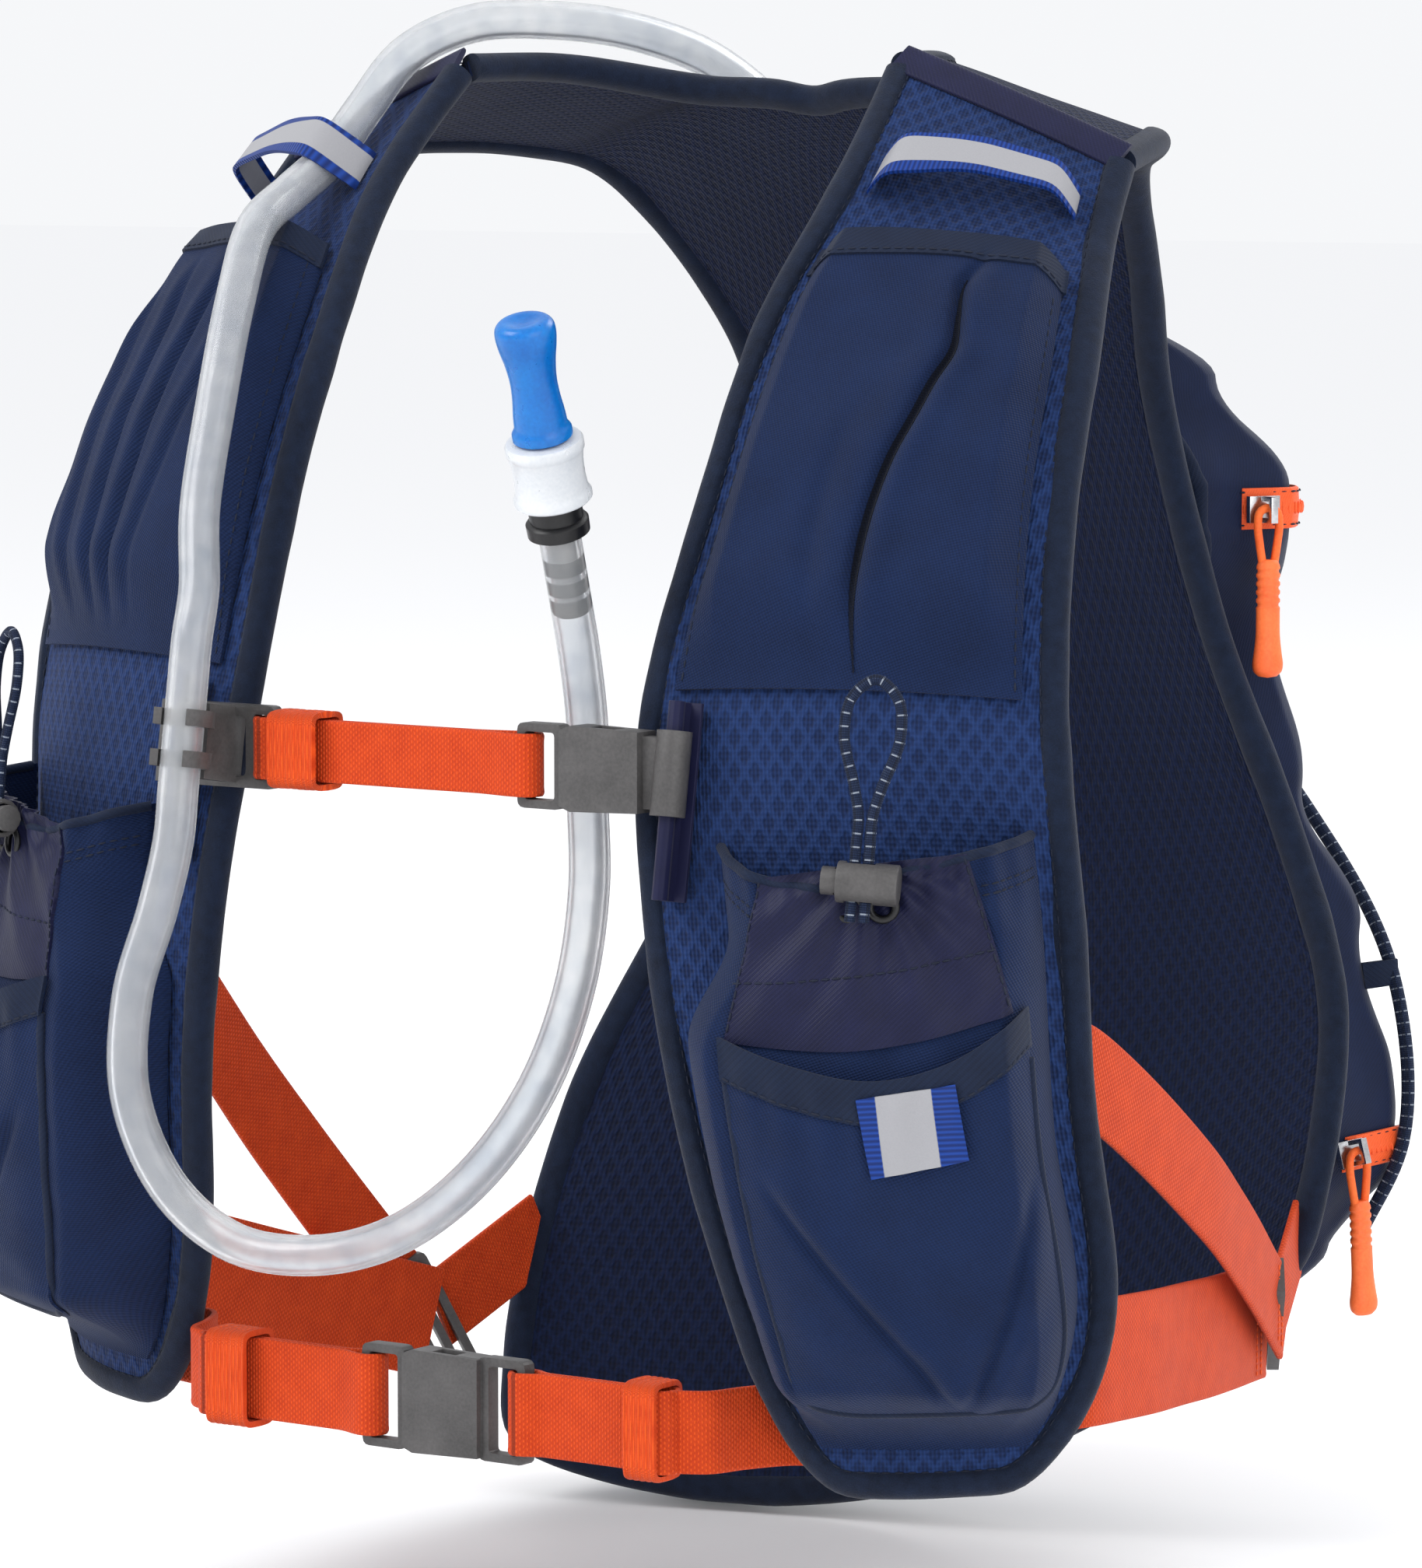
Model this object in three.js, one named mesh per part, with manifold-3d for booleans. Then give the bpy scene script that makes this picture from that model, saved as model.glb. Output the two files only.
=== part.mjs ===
// Running hydration pack: a vest with a back pack, a water reservoir and a drink hose.
// Millimetres. +Z is up, +X is the wearer's left, -Y is the wearer's front.
// The origin is midway between the two shoulder tops, where the vest hangs on its wearer.
import * as THREE from 'three';
import { mergeGeometries, mergeVertices } from 'three/addons/utils/BufferGeometryUtils.js';
import Module from 'manifold-3d';

const wasm = await Module();
wasm.setup();

// ---------------------------------------------------------------- driving sizes
const chestScale = 1;          // overall width of the vest about its middle plane
const torsoScale = 1;          // overall length of the vest below the shoulders
const gap = 0.5;               // clearance between pieces that touch
const meshThickness = 4;       // spacer mesh of the panels
const bindingWidth = 8;        // padded edge binding, across the edge
const bindingThickness = 7;
const tapeThickness = 1.2;     // seam tapes and pocket walls
const webbingThickness = 1.6;
const chestWebbing = 15;       // webbing widths
const waistWebbing = 20;
const sideWebbing = 22;
const lowerWebbing = 30;
const keeperWall = 1.4;
const hoseRadius = 5;
const bungeeRadius = 1.3;
const backBungeeRadius = 1.8;
const waistStrapHeight = -324;
const waistStrapDepth = -101;
const railAcross = 74;         // X of the chest strap's rails
const railCord = 2;            // radius of the cord inside the rail
const bottlePocketDepth = 24;
const upperPocketDepth = 9;
const smallPocketDepth = 4;
const loopRise = 9;            // free height under the left reflective loop
const hoseLoopSpare = 4.3;     // the right one holds the hose with this much to spare
const hoseLoopRise = 2 * hoseRadius + hoseLoopSpare;
const packWall = 1.6;
const reservoirThickness = 12;
const reservoirHalfWidth = 62;
const tailRoll = 17 * Math.PI / 180;   // the lower back hangs turned, left side up
const tailYaw = 7 * Math.PI / 180;     // and left side back
const tailShift = -16;                 // and moved to the wearer's right
const tailStart = -110;                // heights between which the turn grows
const tailEnd = -380;
const tailPivotY = 140;

const vec = (x, y, z) => new THREE.Vector3(x, y, z);
const points = (list) => list.map(([x, y, z]) => vec(x * chestScale, y, z * torsoScale));
const mix = (a, b, t) => a + (b - a) * t;
const ease = (a, b, x) => THREE.MathUtils.smoothstep(x, a, b);
const curveThrough = (list) => new THREE.CatmullRomCurve3(points(list), false, 'catmullrom', 0.5);
const valueCurve = (list) => new THREE.SplineCurve(list.map(([x, y]) => new THREE.Vector2(x, y)));

// ---------------------------------------------------------------- closed meshes
// Turns loose triangles into a closed geometry that faces out.
function closedGeometry(corners) {
  const g = new THREE.BufferGeometry();
  g.setAttribute('position', new THREE.Float32BufferAttribute(corners.flatMap((p) => [p.x, p.y, p.z]), 3));
  let volume = 0;
  for (let i = 0; i < corners.length; i += 3) {
    volume += corners[i].dot(corners[i + 1].clone().cross(corners[i + 2])) / 6;
  }
  return volume < 0 ? flipped(g) : g;
}

function flipped(geometry) {
  const g = geometry.index ? geometry.toNonIndexed() : geometry.clone();
  const p = g.getAttribute('position');
  for (let i = 0; i < p.count; i += 3) {
    const a = vec().fromBufferAttribute(p, i + 1);
    const b = vec().fromBufferAttribute(p, i + 2);
    p.setXYZ(i + 1, b.x, b.y, b.z);
    p.setXYZ(i + 2, a.x, a.y, a.z);
  }
  return g;
}

function quad(out, a, b, c, d) {
  out.push(a, b, c, a, c, d);
}

// A closed sheet between an outer and an inner grid of points over the unit square.
function sheet(columns, rows, outer, inner) {
  const out = [];
  const grid = (f) => Array.from({ length: rows + 1 }, (_, j) =>
    Array.from({ length: columns + 1 }, (_, i) => f(i / columns, j / rows)));
  const top = grid(outer);
  const low = grid(inner);
  for (let j = 0; j < rows; j++) {
    for (let i = 0; i < columns; i++) {
      quad(out, top[j][i], top[j][i + 1], top[j + 1][i + 1], top[j + 1][i]);
      quad(out, low[j][i], low[j + 1][i], low[j + 1][i + 1], low[j][i + 1]);
    }
    quad(out, top[j][0], top[j + 1][0], low[j + 1][0], low[j][0]);
    quad(out, top[j][columns], low[j][columns], low[j + 1][columns], top[j + 1][columns]);
  }
  for (let i = 0; i < columns; i++) {
    quad(out, top[0][i], low[0][i], low[0][i + 1], top[0][i + 1]);
    quad(out, top[rows][i], top[rows][i + 1], low[rows][i + 1], low[rows][i]);
  }
  return closedGeometry(out);
}

// Sweeps a convex section along frames of { at, side, up }, with flat ends.
function sweep(frames, section) {
  const out = [];
  const rings = frames.map(({ at, side, up }) => section.map(([a, b]) =>
    at.clone().addScaledVector(side, a).addScaledVector(up, b)));
  const n = section.length;
  for (let j = 0; j + 1 < rings.length; j++) {
    for (let i = 0; i < n; i++) {
      const k = (i + 1) % n;
      quad(out, rings[j][i], rings[j][k], rings[j + 1][k], rings[j + 1][i]);
    }
  }
  const first = rings[0];
  const last = rings[rings.length - 1];
  for (let i = 1; i + 1 < n; i++) {
    out.push(first[0], first[i + 1], first[i]);
    out.push(last[0], last[i], last[i + 1]);
  }
  return closedGeometry(out);
}

const ovalSection = (width, thickness, sides) => Array.from({ length: sides }, (_, i) => {
  const angle = (i + 0.5) * 2 * Math.PI / sides;
  return [Math.cos(angle) * width / 2, Math.sin(angle) * thickness / 2];
});
const flatSection = (width, thickness) => [
  [-width / 2, -thickness / 2], [width / 2, -thickness / 2],
  [width / 2, thickness / 2], [-width / 2, thickness / 2]];

// Frames along a list of places, with the side direction given or worked out from an up direction.
function framesAlong(places, upAt) {
  return places.map((at, i) => {
    const before = places[Math.max(i - 1, 0)];
    const after = places[Math.min(i + 1, places.length - 1)];
    const along = after.clone().sub(before).normalize();
    const side = along.clone().cross(upAt(i)).normalize();
    return { at, side, up: side.clone().cross(along).normalize() };
  });
}

// A round cord or hose along a curve.
function cord(curve, radius, sides, steps) {
  const shape = new THREE.Shape();
  for (let i = 0; i < sides; i++) {
    const angle = i * 2 * Math.PI / sides;
    shape[i ? 'lineTo' : 'moveTo'](radius * Math.cos(angle), radius * Math.sin(angle));
  }
  shape.closePath();
  return new THREE.ExtrudeGeometry(shape, { steps, extrudePath: curve, bevelEnabled: false });
}

// Flat webbing along points, standing on edge with its width near the given direction.
function webbing(list, across, width, thickness, steps) {
  const places = curveThrough(list).getPoints(steps);
  return sweep(framesAlong(places, (i) => {
    const before = places[Math.max(i - 1, 0)];
    const after = places[Math.min(i + 1, steps)];
    return after.clone().sub(before).cross(across(i / steps)).normalize();
  }), flatSection(width, thickness));
}
const upright = () => vec(0, 0, 1);

const loose = (geometry) => {
  const g = geometry.index ? geometry.toNonIndexed() : geometry.clone();
  g.deleteAttribute('normal');
  g.deleteAttribute('uv');
  return g;
};
function solid(geometry) {
  const merged = mergeVertices(loose(geometry), 1e-4);
  return new wasm.Manifold(new wasm.Mesh({
    numProp: 3,
    vertProperties: new Float32Array(merged.getAttribute('position').array),
    triVerts: new Uint32Array(merged.index.array),
  }));
}
function geometryOf(manifold) {
  const mesh = manifold.getMesh();
  const g = new THREE.BufferGeometry();
  g.setAttribute('position', new THREE.BufferAttribute(mesh.vertProperties, 3));
  g.setIndex(new THREE.BufferAttribute(mesh.triVerts, 1));
  return g;
}
const cut = (body, ...tools) => geometryOf(tools.reduce((s, t) => s.subtract(solid(t)), solid(body)));
const join = (...bodies) => geometryOf(bodies.map(solid).reduce((a, b) => a.add(b)));
const mirrored = (geometry) => flipped(loose(geometry).scale(-1, 1, 1));
const blockAt = (x0, x1, y0, y1, z0, z1) => new THREE.BoxGeometry(x1 - x0, y1 - y0, z1 - z0)
  .translate((x0 + x1) / 2, (y0 + y1) / 2, (z0 + z1) / 2);

// ---------------------------------------------------------------- front panel surface
// Inner and outer edges of the left front panel, shoulder seam to bottom.
const frontInner = curveThrough([[64, 0, -1], [67, -30, -31], [62, -56, -64], [60, -77, -105],
  [57, -97, -156], [63, -104, -203], [70, -102, -248], [78, -92, -293], [92, -83, -340]]);
const frontOuter = curveThrough([[128, 8, -27], [133, -8, -46], [143, -31, -72], [150, -52, -110],
  [155, -62, -156], [159, -60, -203], [161, -58, -248], [163, -51, -293], [150, -54, -336]]);
const frontCrown = valueCurve([[0, 1], [0.2, 4], [0.45, 10], [0.7, 11], [1, 8]]);
const panelBottomRound = 0.93;      // where the bottom corners begin to round

function frontBase(u, v) {
  const inner = frontInner.getPoint(v);
  const outer = frontOuter.getPoint(v);
  const p = inner.clone().lerp(outer, (u + 1) / 2);
  const chord = outer.clone().sub(inner);
  const down = frontInner.getPoint(Math.min(v + 0.01, 1)).sub(frontInner.getPoint(Math.max(v - 0.01, 0)));
  const outward = down.clone().cross(chord).normalize();
  return p.addScaledVector(outward, frontCrown.getPoint(v).y * (1 - u * u));
}
// A point on the left front panel's outer face, raised by a height. u runs -1 to 1 from inner to outer.
function front(u, v, height = 0) {
  const d = 0.02;
  const across = frontBase(u + d, v).sub(frontBase(u - d, v));
  const down = frontBase(u, Math.min(v + d, 1)).sub(frontBase(u, Math.max(v - d, 0)));
  const normal = down.cross(across).normalize();
  return frontBase(u, v).addScaledVector(normal, height);
}
const frontWidth = (v) => frontInner.getPoint(v).distanceTo(frontOuter.getPoint(v));
const cornerShare = (v) => v < panelBottomRound ? 1
  : 1 - 0.28 * ((v - panelBottomRound) / (1 - panelBottomRound)) ** 2;
// The u that lies a number of millimetres in from the panel's edge, on either side.
const edgeU = (v, inset) => cornerShare(v) - 2 * inset / frontWidth(v);
const frontLength = frontInner.getLength();
const shareOfLength = (mm) => mm / frontLength;

const panelInset = bindingWidth + gap;
const seamGap = 3.4;                // from the shoulder seam to each panel
const panelTop = shareOfLength(seamGap);
const panelBottom = 1 - shareOfLength(panelInset);

// A sheet between two heights over a stretch of the panel, set in from its edges.
function frontPatch(columns, rows, v0, v1, inset, low, high, innerInset = () => inset) {
  const place = (height) => (s, t) => {
    const v = mix(v0, v1, t);
    const u = mix(-edgeU(v, innerInset(t)), edgeU(v, inset), s);
    return front(u, v, height(2 * s - 1, t));
  };
  return sheet(columns, rows, place(high), place(low));
}
const flat = (height) => () => height;

function frontEdgeFrames() {
  const centre = bindingWidth / 2;
  const rows = 18;
  const bottom = 1 - shareOfLength(centre);
  const path = [];
  for (let j = 0; j <= rows; j++) {
    const v = mix(panelTop, bottom, j / rows);
    path.push([-edgeU(v, centre), v]);
  }
  const corner = edgeU(bottom, centre);
  for (let i = 1; i < 6; i++) {
    path.push([mix(-corner, corner, i / 6), bottom]);
  }
  for (let j = rows; j >= 0; j--) {
    const v = mix(panelTop, bottom, j / rows);
    path.push([edgeU(v, centre), v]);
  }
  const places = path.map(([u, v]) => front(u, v, -meshThickness / 2));
  const ups = path.map(([u, v]) => front(u, v, 1).sub(front(u, v, 0)).normalize());
  return framesAlong(places, (i) => ups[i]);
}
const bindingSection = ovalSection(bindingWidth, bindingThickness, 6);
const bindingRoom = flatSection(bindingWidth + 2 * gap, 2 * bindingThickness);
const frontBinding = () => sweep(frontEdgeFrames(), bindingSection);
const frontPanel = cut(frontPatch(8, 16, panelTop, panelBottom, panelInset, flat(-meshThickness), flat(0)),
  sweep(frontEdgeFrames(), bindingRoom));

// ---------------------------------------------------------------- pieces on the front panel
const pocketInset = bindingWidth + 2.5;

const loopTop = 0.085;               // share of the panel's length at the strip's edges
const loopBottom = 0.135;
// A reflective strip that bridges the strap between the bindings, lying flat at both ends.
function reflectiveLoop(rise) {
  const bridge = (extra) => (u) => gap + extra + rise * Math.min(1, (1 - u * u) * 2.4);
  return frontPatch(10, 1, loopTop, loopBottom, pocketInset, bridge(0), bridge(tapeThickness));
}

// The long stretch pocket: open at the top, sewn at its sides and bottom.
const upperPocketTop = 0.2;
const upperPocketBottom = 0.485;
function upperPocket() {
  const swell = (extra) => (u, t) => gap + extra
    + upperPocketDepth * Math.min(1, (1 - u ** 4) * 1.6) * Math.min(1, (1 - t) * 6);
  return frontPatch(8, 8, upperPocketTop, upperPocketBottom, pocketInset, swell(0), swell(tapeThickness));
}

// The bottle pocket: a deep open-topped pouch.
const bottlePocketTop = 0.585;
const bottlePocketBottom = 0.965;
const railRoom = 12.5;                // the pocket's top stands clear of the chest rail
const bottleSwell = (u, t) => bottlePocketDepth * Math.min(1, (1 - u ** 4) * 1.3)
  * ease(0, 0.16, 1 - t) * mix(0.62, 1, ease(0, 0.35, t));
function bottlePocket() {
  const swell = (extra) => (u, t) => gap + extra + bottleSwell(u, t);
  const besideRail = (t) => mix(pocketInset + railRoom, pocketInset, ease(0.12, 0.3, t));
  return frontPatch(10, 12, bottlePocketTop, bottlePocketBottom, pocketInset, swell(0), swell(tapeThickness),
    besideRail);
}

// The small front pocket on the bottle pocket: open at the top, with a dipped mouth.
function smallPocket() {
  const halfWidth = 0.62;
  const mouthV = 0.71;
  const mouthDip = 0.035;
  const bottomV = 0.9;
  const place = (extra) => (s, t) => {
    const k = 2 * s - 1;
    const mouth = mouthV + mouthDip * (1 - k * k);
    const v = mix(mouth, bottomV, t);
    const u = k * halfWidth * edgeU(v, pocketInset);
    const t2 = (v - bottlePocketTop) / (bottlePocketBottom - bottlePocketTop);
    const swell = smallPocketDepth * (1 - k ** 4) * Math.min(1, (1 - t) * 4);
    const below = bottleSwell(k * halfWidth, t2);
    return front(u, v, 2 * gap + tapeThickness + below + swell + extra);
  };
  return sheet(8, 8, place(tapeThickness), place(0));
}

// ---------------------------------------------------------------- chest rails
// Each rail is a cord in a folded tape, sewn along the front panel beside its inner edge.
const railStand = 5;                // from the rail's base to the cord's centre
const railBase = 7;                 // width of the sewn base
const railBaseThickness = 1;
const railClear = 2.6;              // the straight rail stands off the curved panel
const railWeb = 1;
const railStartV = 0.497;
const railEndV = 0.612;
// The place on the panel at the rails' distance from the middle plane.
function railPlace(v) {
  let a = -1;
  let b = 1;
  for (let i = 0; i < 30; i++) {
    const u = (a + b) / 2;
    if (front(u, v).x < railAcross) {
      a = u;
    } else {
      b = u;
    }
  }
  return front(a, v, railStand + railBaseThickness + railClear).setX(railAcross);
}
const railTop = railPlace(railStartV);
const railBottom = railPlace(railEndV);
const railLength = railTop.distanceTo(railBottom);
const railAlong = railBottom.clone().sub(railTop).normalize();
const railAt = (distance) => railTop.clone().addScaledVector(railAlong, distance);
const railSide = vec(1, 0, 0);
const railOut = railSide.clone().cross(railAlong).normalize().multiplyScalar(-1);
if (railOut.y > 0) {
  railOut.negate();
}

function alongRail(section, from, to) {
  const shape = new THREE.Shape(section.map(([a, b]) => new THREE.Vector2(a, b)));
  const g = new THREE.ExtrudeGeometry(shape, { depth: to - from, bevelEnabled: false });
  const basis = new THREE.Matrix4().makeBasis(railSide, railOut, railAlong);
  g.applyMatrix4(basis);
  g.translate(...railAt(from).toArray());
  return basis.determinant() < 0 ? flipped(loose(g)) : g;
}
const arcPoints = (radius, from, to, steps) => Array.from({ length: steps + 1 }, (_, i) => {
  const angle = mix(from, to, i / steps);
  return [radius * Math.cos(angle), radius * Math.sin(angle)];
});
function chestRail() {
  const half = railWeb / 2;
  const slit = Math.asin(half / railCord);
  const round = arcPoints(railCord, -Math.PI / 2 + slit, 1.5 * Math.PI - slit, 9);
  return alongRail([
    [-railBase / 2, -railStand - railBaseThickness], [railBase / 2, -railStand - railBaseThickness],
    [railBase / 2, -railStand],
    [half, -railStand], ...round, [-half, -railStand], [-railBase / 2, -railStand]], 0, railLength);
}
const clipInner = railCord + gap;
const clipOuter = clipInner + 1.7;
const clipSlit = 0.42;              // half angle of the slit that the rail's web passes
const clipHeight = 20;
const clipFrom = 7;                 // the clip's start from the rail's upper end
function railClip() {
  const round = (r, a, b) => arcPoints(r, a, b, 10);
  const from = -Math.PI / 2 + clipSlit;
  const to = 1.5 * Math.PI - clipSlit;
  return alongRail([...round(clipOuter, from, to), ...round(clipInner, to, from)],
    clipFrom, clipFrom + clipHeight);
}
const railCentre = railAt(clipFrom + clipHeight / 2);
const strapAxisY = railCentre.y;
const strapAxisZ = railCentre.z;

// ---------------------------------------------------------------- side-release buckles
// Local frame: x along the strap from the male to the female end, z across, y through.
function rounded(x0, x1, z0, z1, radius) {
  const s = new THREE.Shape();
  s.moveTo(x0 + radius, z0);
  s.lineTo(x1 - radius, z0);
  s.quadraticCurveTo(x1, z0, x1, z0 + radius);
  s.lineTo(x1, z1 - radius);
  s.quadraticCurveTo(x1, z1, x1 - radius, z1);
  s.lineTo(x0 + radius, z1);
  s.quadraticCurveTo(x0, z1, x0, z1 - radius);
  s.lineTo(x0, z0 + radius);
  s.quadraticCurveTo(x0, z0, x0 + radius, z0);
  return s;
}
// Extrudes an outline drawn in x and z through a thickness centred on y.
function plate(shape, thickness, y = 0) {
  return new THREE.ExtrudeGeometry(shape, { depth: thickness, bevelEnabled: false, curveSegments: 3 })
    .rotateX(Math.PI / 2).translate(0, y + thickness / 2, 0);
}
const buckleFrame = 13;             // length of the frame that takes the webbing
const buckleBody = 23;              // length of the female housing
const buckleThickness = 7.6;
const frameWall = 2.2;
const buckleClear = 0.4;

function buckleMale(width) {
  const half = width / 2 + 2.6;
  const frame = plate(rounded(-buckleFrame, 0, -half, half, 2), 4);
  const slot = width / 2 + gap;
  const window = plate(rounded(-buckleFrame + frameWall, -frameWall, -slot, slot, 1), 6);
  const guide = blockAt(-0.5, buckleBody * 0.62, -1.6, 1.6, -1.5, 1.5);
  const arm = (sign) => {
    const s = new THREE.Shape();
    const z = (value) => sign * value;
    s.moveTo(-0.5, z(half - 5.6));
    s.lineTo(9, z(half - 4.8));
    s.lineTo(10, z(half - 2.7));
    s.lineTo(14, z(half - 2.6));
    s.lineTo(16.5, z(half - 4.4));
    s.lineTo(12, z(half - 6.8));
    s.lineTo(-0.5, z(half - 7.8));
    s.closePath();
    return plate(s, 3.2);
  };
  return join(cut(frame, window), guide, arm(1), arm(-1));
}
function buckleFemale(width) {
  const half = width / 2 + 2.6;
  const start = buckleClear;
  const end = buckleBody;
  const s = new THREE.Shape();
  s.moveTo(start, -half + 1.2);
  s.lineTo(start + 3, -half);
  s.lineTo(end, -half + 0.6);
  s.lineTo(end, half - 0.6);
  s.lineTo(start + 3, half);
  s.lineTo(start, half - 1.2);
  s.closePath();
  const housing = plate(s, buckleThickness);
  const hollow = blockAt(start - 1, end - 2, -2.2, 2.2, -half + 2.6 - buckleClear, half - 2.6 + buckleClear);
  const leftWindow = blockAt(8.5, 15.5, -2.2, 2.2, half - 4, half + 1);
  const rightWindow = blockAt(8.5, 15.5, -2.2, 2.2, -half - 1, -half + 4);
  return cut(housing, hollow, leftWindow, rightWindow);
}
const webLoop = 1.1;                // how far the folded webbing stands off the frame's bar

// ---------------------------------------------------------------- chest strap
const maleAt = 44;                  // X where the chest male buckle's frame ends
const placeBuckle = (geometry, x, y, z) => geometry.translate(x, y, z);
const chestMale = placeBuckle(buckleMale(chestWebbing), maleAt, strapAxisY, strapAxisZ);
// The female housing carries the rail clip that rides on the left rail.
function chestFemale() {
  const housing = placeBuckle(buckleFemale(chestWebbing), maleAt, strapAxisY, strapAxisZ);
  const neck = blockAt(maleAt + buckleBody - 1, railAcross - clipInner - 0.6,
    strapAxisY - 1.4, strapAxisY + 1.4,
    strapAxisZ - clipHeight / 2 + 1.5, strapAxisZ + clipHeight / 2 - 1.5);
  return join(housing, neck, railClip());
}
// The right hook plate: a rail clip, a frame for the webbing and two fingers that hold the hose.
const hookLength = 29;
const hoseAtClip = -57;             // X of the hose in the hook's fingers
const hoseStandOff = 18.5;          // and its distance in front of the rails
const fingerMouth = 0.75;           // half angle of the fingers' mouth
const fingerWall = 2;
function chestHook() {
  const x1 = -railAcross + clipInner + 0.6;
  const x2 = x1 + hookLength;
  const half = chestWebbing / 2 + 2.6;
  const frame = placeBuckle(plate(rounded(x1, x2, -half, half, 2), 3.2), 0, strapAxisY, strapAxisZ);
  const window = placeBuckle(plate(rounded(x2 - 6.5, x2 - frameWall, -half + 2.2, half - 2.2, 1), 6),
    0, strapAxisY, strapAxisZ);
  const window2 = placeBuckle(plate(rounded(x1 + 3, x2 - 9, -half + 2.6, half - 2.6, 2), 6),
    0, strapAxisY, strapAxisZ);
  const hoseX = hoseAtClip - railCentre.x;
  const ring = (r, a, b) => arcPoints(r, a, b, 10).map(([x, y]) => [x + hoseX, y + hoseStandOff]);
  const inner = hoseRadius + 0.5;
  const outer = inner + fingerWall;
  const from = Math.PI / 2 + fingerMouth;
  const to = 2.5 * Math.PI - fingerMouth;
  const middle = clipFrom + clipHeight / 2;
  const finger = (start) => alongRail([...ring(outer, from, to), ...ring(inner, to, from)],
    middle + start, middle + start + 4);
  const post = alongRail([[hoseX - 3, -1.5], [hoseX + 3, -1.5], [hoseX + 3, hoseStandOff - inner - 0.3],
    [hoseX - 3, hoseStandOff - inner - 0.3]], middle - half + 1, middle + half - 1);
  return join(cut(frame, window, window2), mirrored(railClip()), finger(-7), finger(3), post);
}
const hookFrameEnd = -railAcross + clipInner + 0.6 + hookLength;
const chestBandStart = hookFrameEnd - frameWall - 1;

// A straight doubled webbing: a closed loop of webbing round a bar at each end.
function doubledWebbing(x0, x1, y, z, width, barRoom) {
  const outer = blockAt(x0, x1, y - barRoom / 2 - webbingThickness, y + barRoom / 2 + webbingThickness,
    z - width / 2, z + width / 2);
  const inner = blockAt(x0 + webbingThickness, x1 - webbingThickness, y - barRoom / 2, y + barRoom / 2,
    z - width / 2 - 1, z + width / 2 + 1);
  return cut(outer, inner);
}
const frameBarRoom = 4 + 2 * webLoop - 1;
const chestWebbingEnd = maleAt - buckleFrame + frameWall + gap + webbingThickness;
const chestBand = doubledWebbing(chestBandStart - frameWall - gap, chestWebbingEnd + 0.4,
  strapAxisY, strapAxisZ, chestWebbing, frameBarRoom);

function keeper(x0, x1, y, z, width, room) {
  const inY = room / 2 + webbingThickness + gap;
  const inZ = width / 2 + gap;
  return cut(
    blockAt(x0, x1, y - inY - keeperWall, y + inY + keeperWall, z - inZ - keeperWall, z + inZ + keeperWall),
    blockAt(x0 - 1, x1 + 1, y - inY, y + inY, z - inZ, z + inZ));
}
const chestKeeper = keeper(-41, -27, strapAxisY, strapAxisZ, chestWebbing, frameBarRoom);

// ---------------------------------------------------------------- waist strap
const waistMaleAt = -7.5;             // X where the waist male buckle's frame ends
const waistZ = waistStrapHeight * torsoScale;
const waistMale = placeBuckle(buckleMale(waistWebbing), waistMaleAt, waistStrapDepth, waistZ);
function waistFemale() {
  const half = waistWebbing / 2 + 2.6;
  const slot = waistWebbing / 2 + gap;
  const housing = buckleFemale(waistWebbing);
  const end = buckleBody + buckleFrame;
  const frame = cut(plate(rounded(buckleBody - 1, end, -half, half, 2), 4),
    plate(rounded(buckleBody + frameWall, end - frameWall, -slot, slot, 1), 6));
  return placeBuckle(join(housing, frame), waistMaleAt, waistStrapDepth, waistZ);
}
const waistStraightEnd = 71 * chestScale;
const waistLeftStart = waistMaleAt + buckleBody + buckleFrame - frameWall - gap - webbingThickness - 0.4;
const waistRightStart = waistMaleAt - buckleFrame + frameWall + gap + webbingThickness + 0.4;
// Each waist webbing is doubled round its buckle bar and passes behind its front panel.
function waistBand(start, sign) {
  const end = sign * waistStraightEnd;
  const loop = doubledWebbing(Math.min(start, end), Math.max(start, end), waistStrapDepth,
    waistZ, waistWebbing, frameBarRoom);
  const tailPlan = [[waistStraightEnd / chestScale - 1, waistStrapDepth], [78, -96.5], [81.5, -87],
    [88.5, -76], [98, -73.5], [118, -68]];
  const route = tailPlan.map(([x, y]) => [x, y, waistStrapHeight]);
  const tail = webbing(route, upright, waistWebbing - 0.2, webbingThickness, 14);
  return join(loop, sign > 0 ? tail : mirrored(tail));
}
const waistKeeper = (x0, x1) => keeper(x0, x1, waistStrapDepth, waistZ, waistWebbing, frameBarRoom);
const waistKeeperLeft = waistKeeper(waistStraightEnd - 11, waistStraightEnd - 2);
const waistKeeperRight = waistKeeper(5 - waistStraightEnd, 17 - waistStraightEnd);

// ---------------------------------------------------------------- back panel surface
// Half of the back panel: its inner edge is the neck and then the middle line.
const neckRow = 3;
const backInner = curveThrough([[64, 0, -1], [55, 31, -1], [32, 54, -6], [0, 62, -10], [0, 93, -38],
  [0, 130, -90], [0, 150, -150], [0, 161, -210], [0, 158, -268], [0, 148, -328], [0, 138, -388]]);
const backOuter = curveThrough([[128, 8, -27], [116, 44, -22], [100, 70, -23], [84, 89, -31], [72, 115, -60],
  [66, 131, -92], [74, 146, -150], [94, 155, -208], [120, 140, -262], [128, 127, -308], [126, 118, -347]]);
const backRows = 10;
const neckV = neckRow / backRows;

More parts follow.
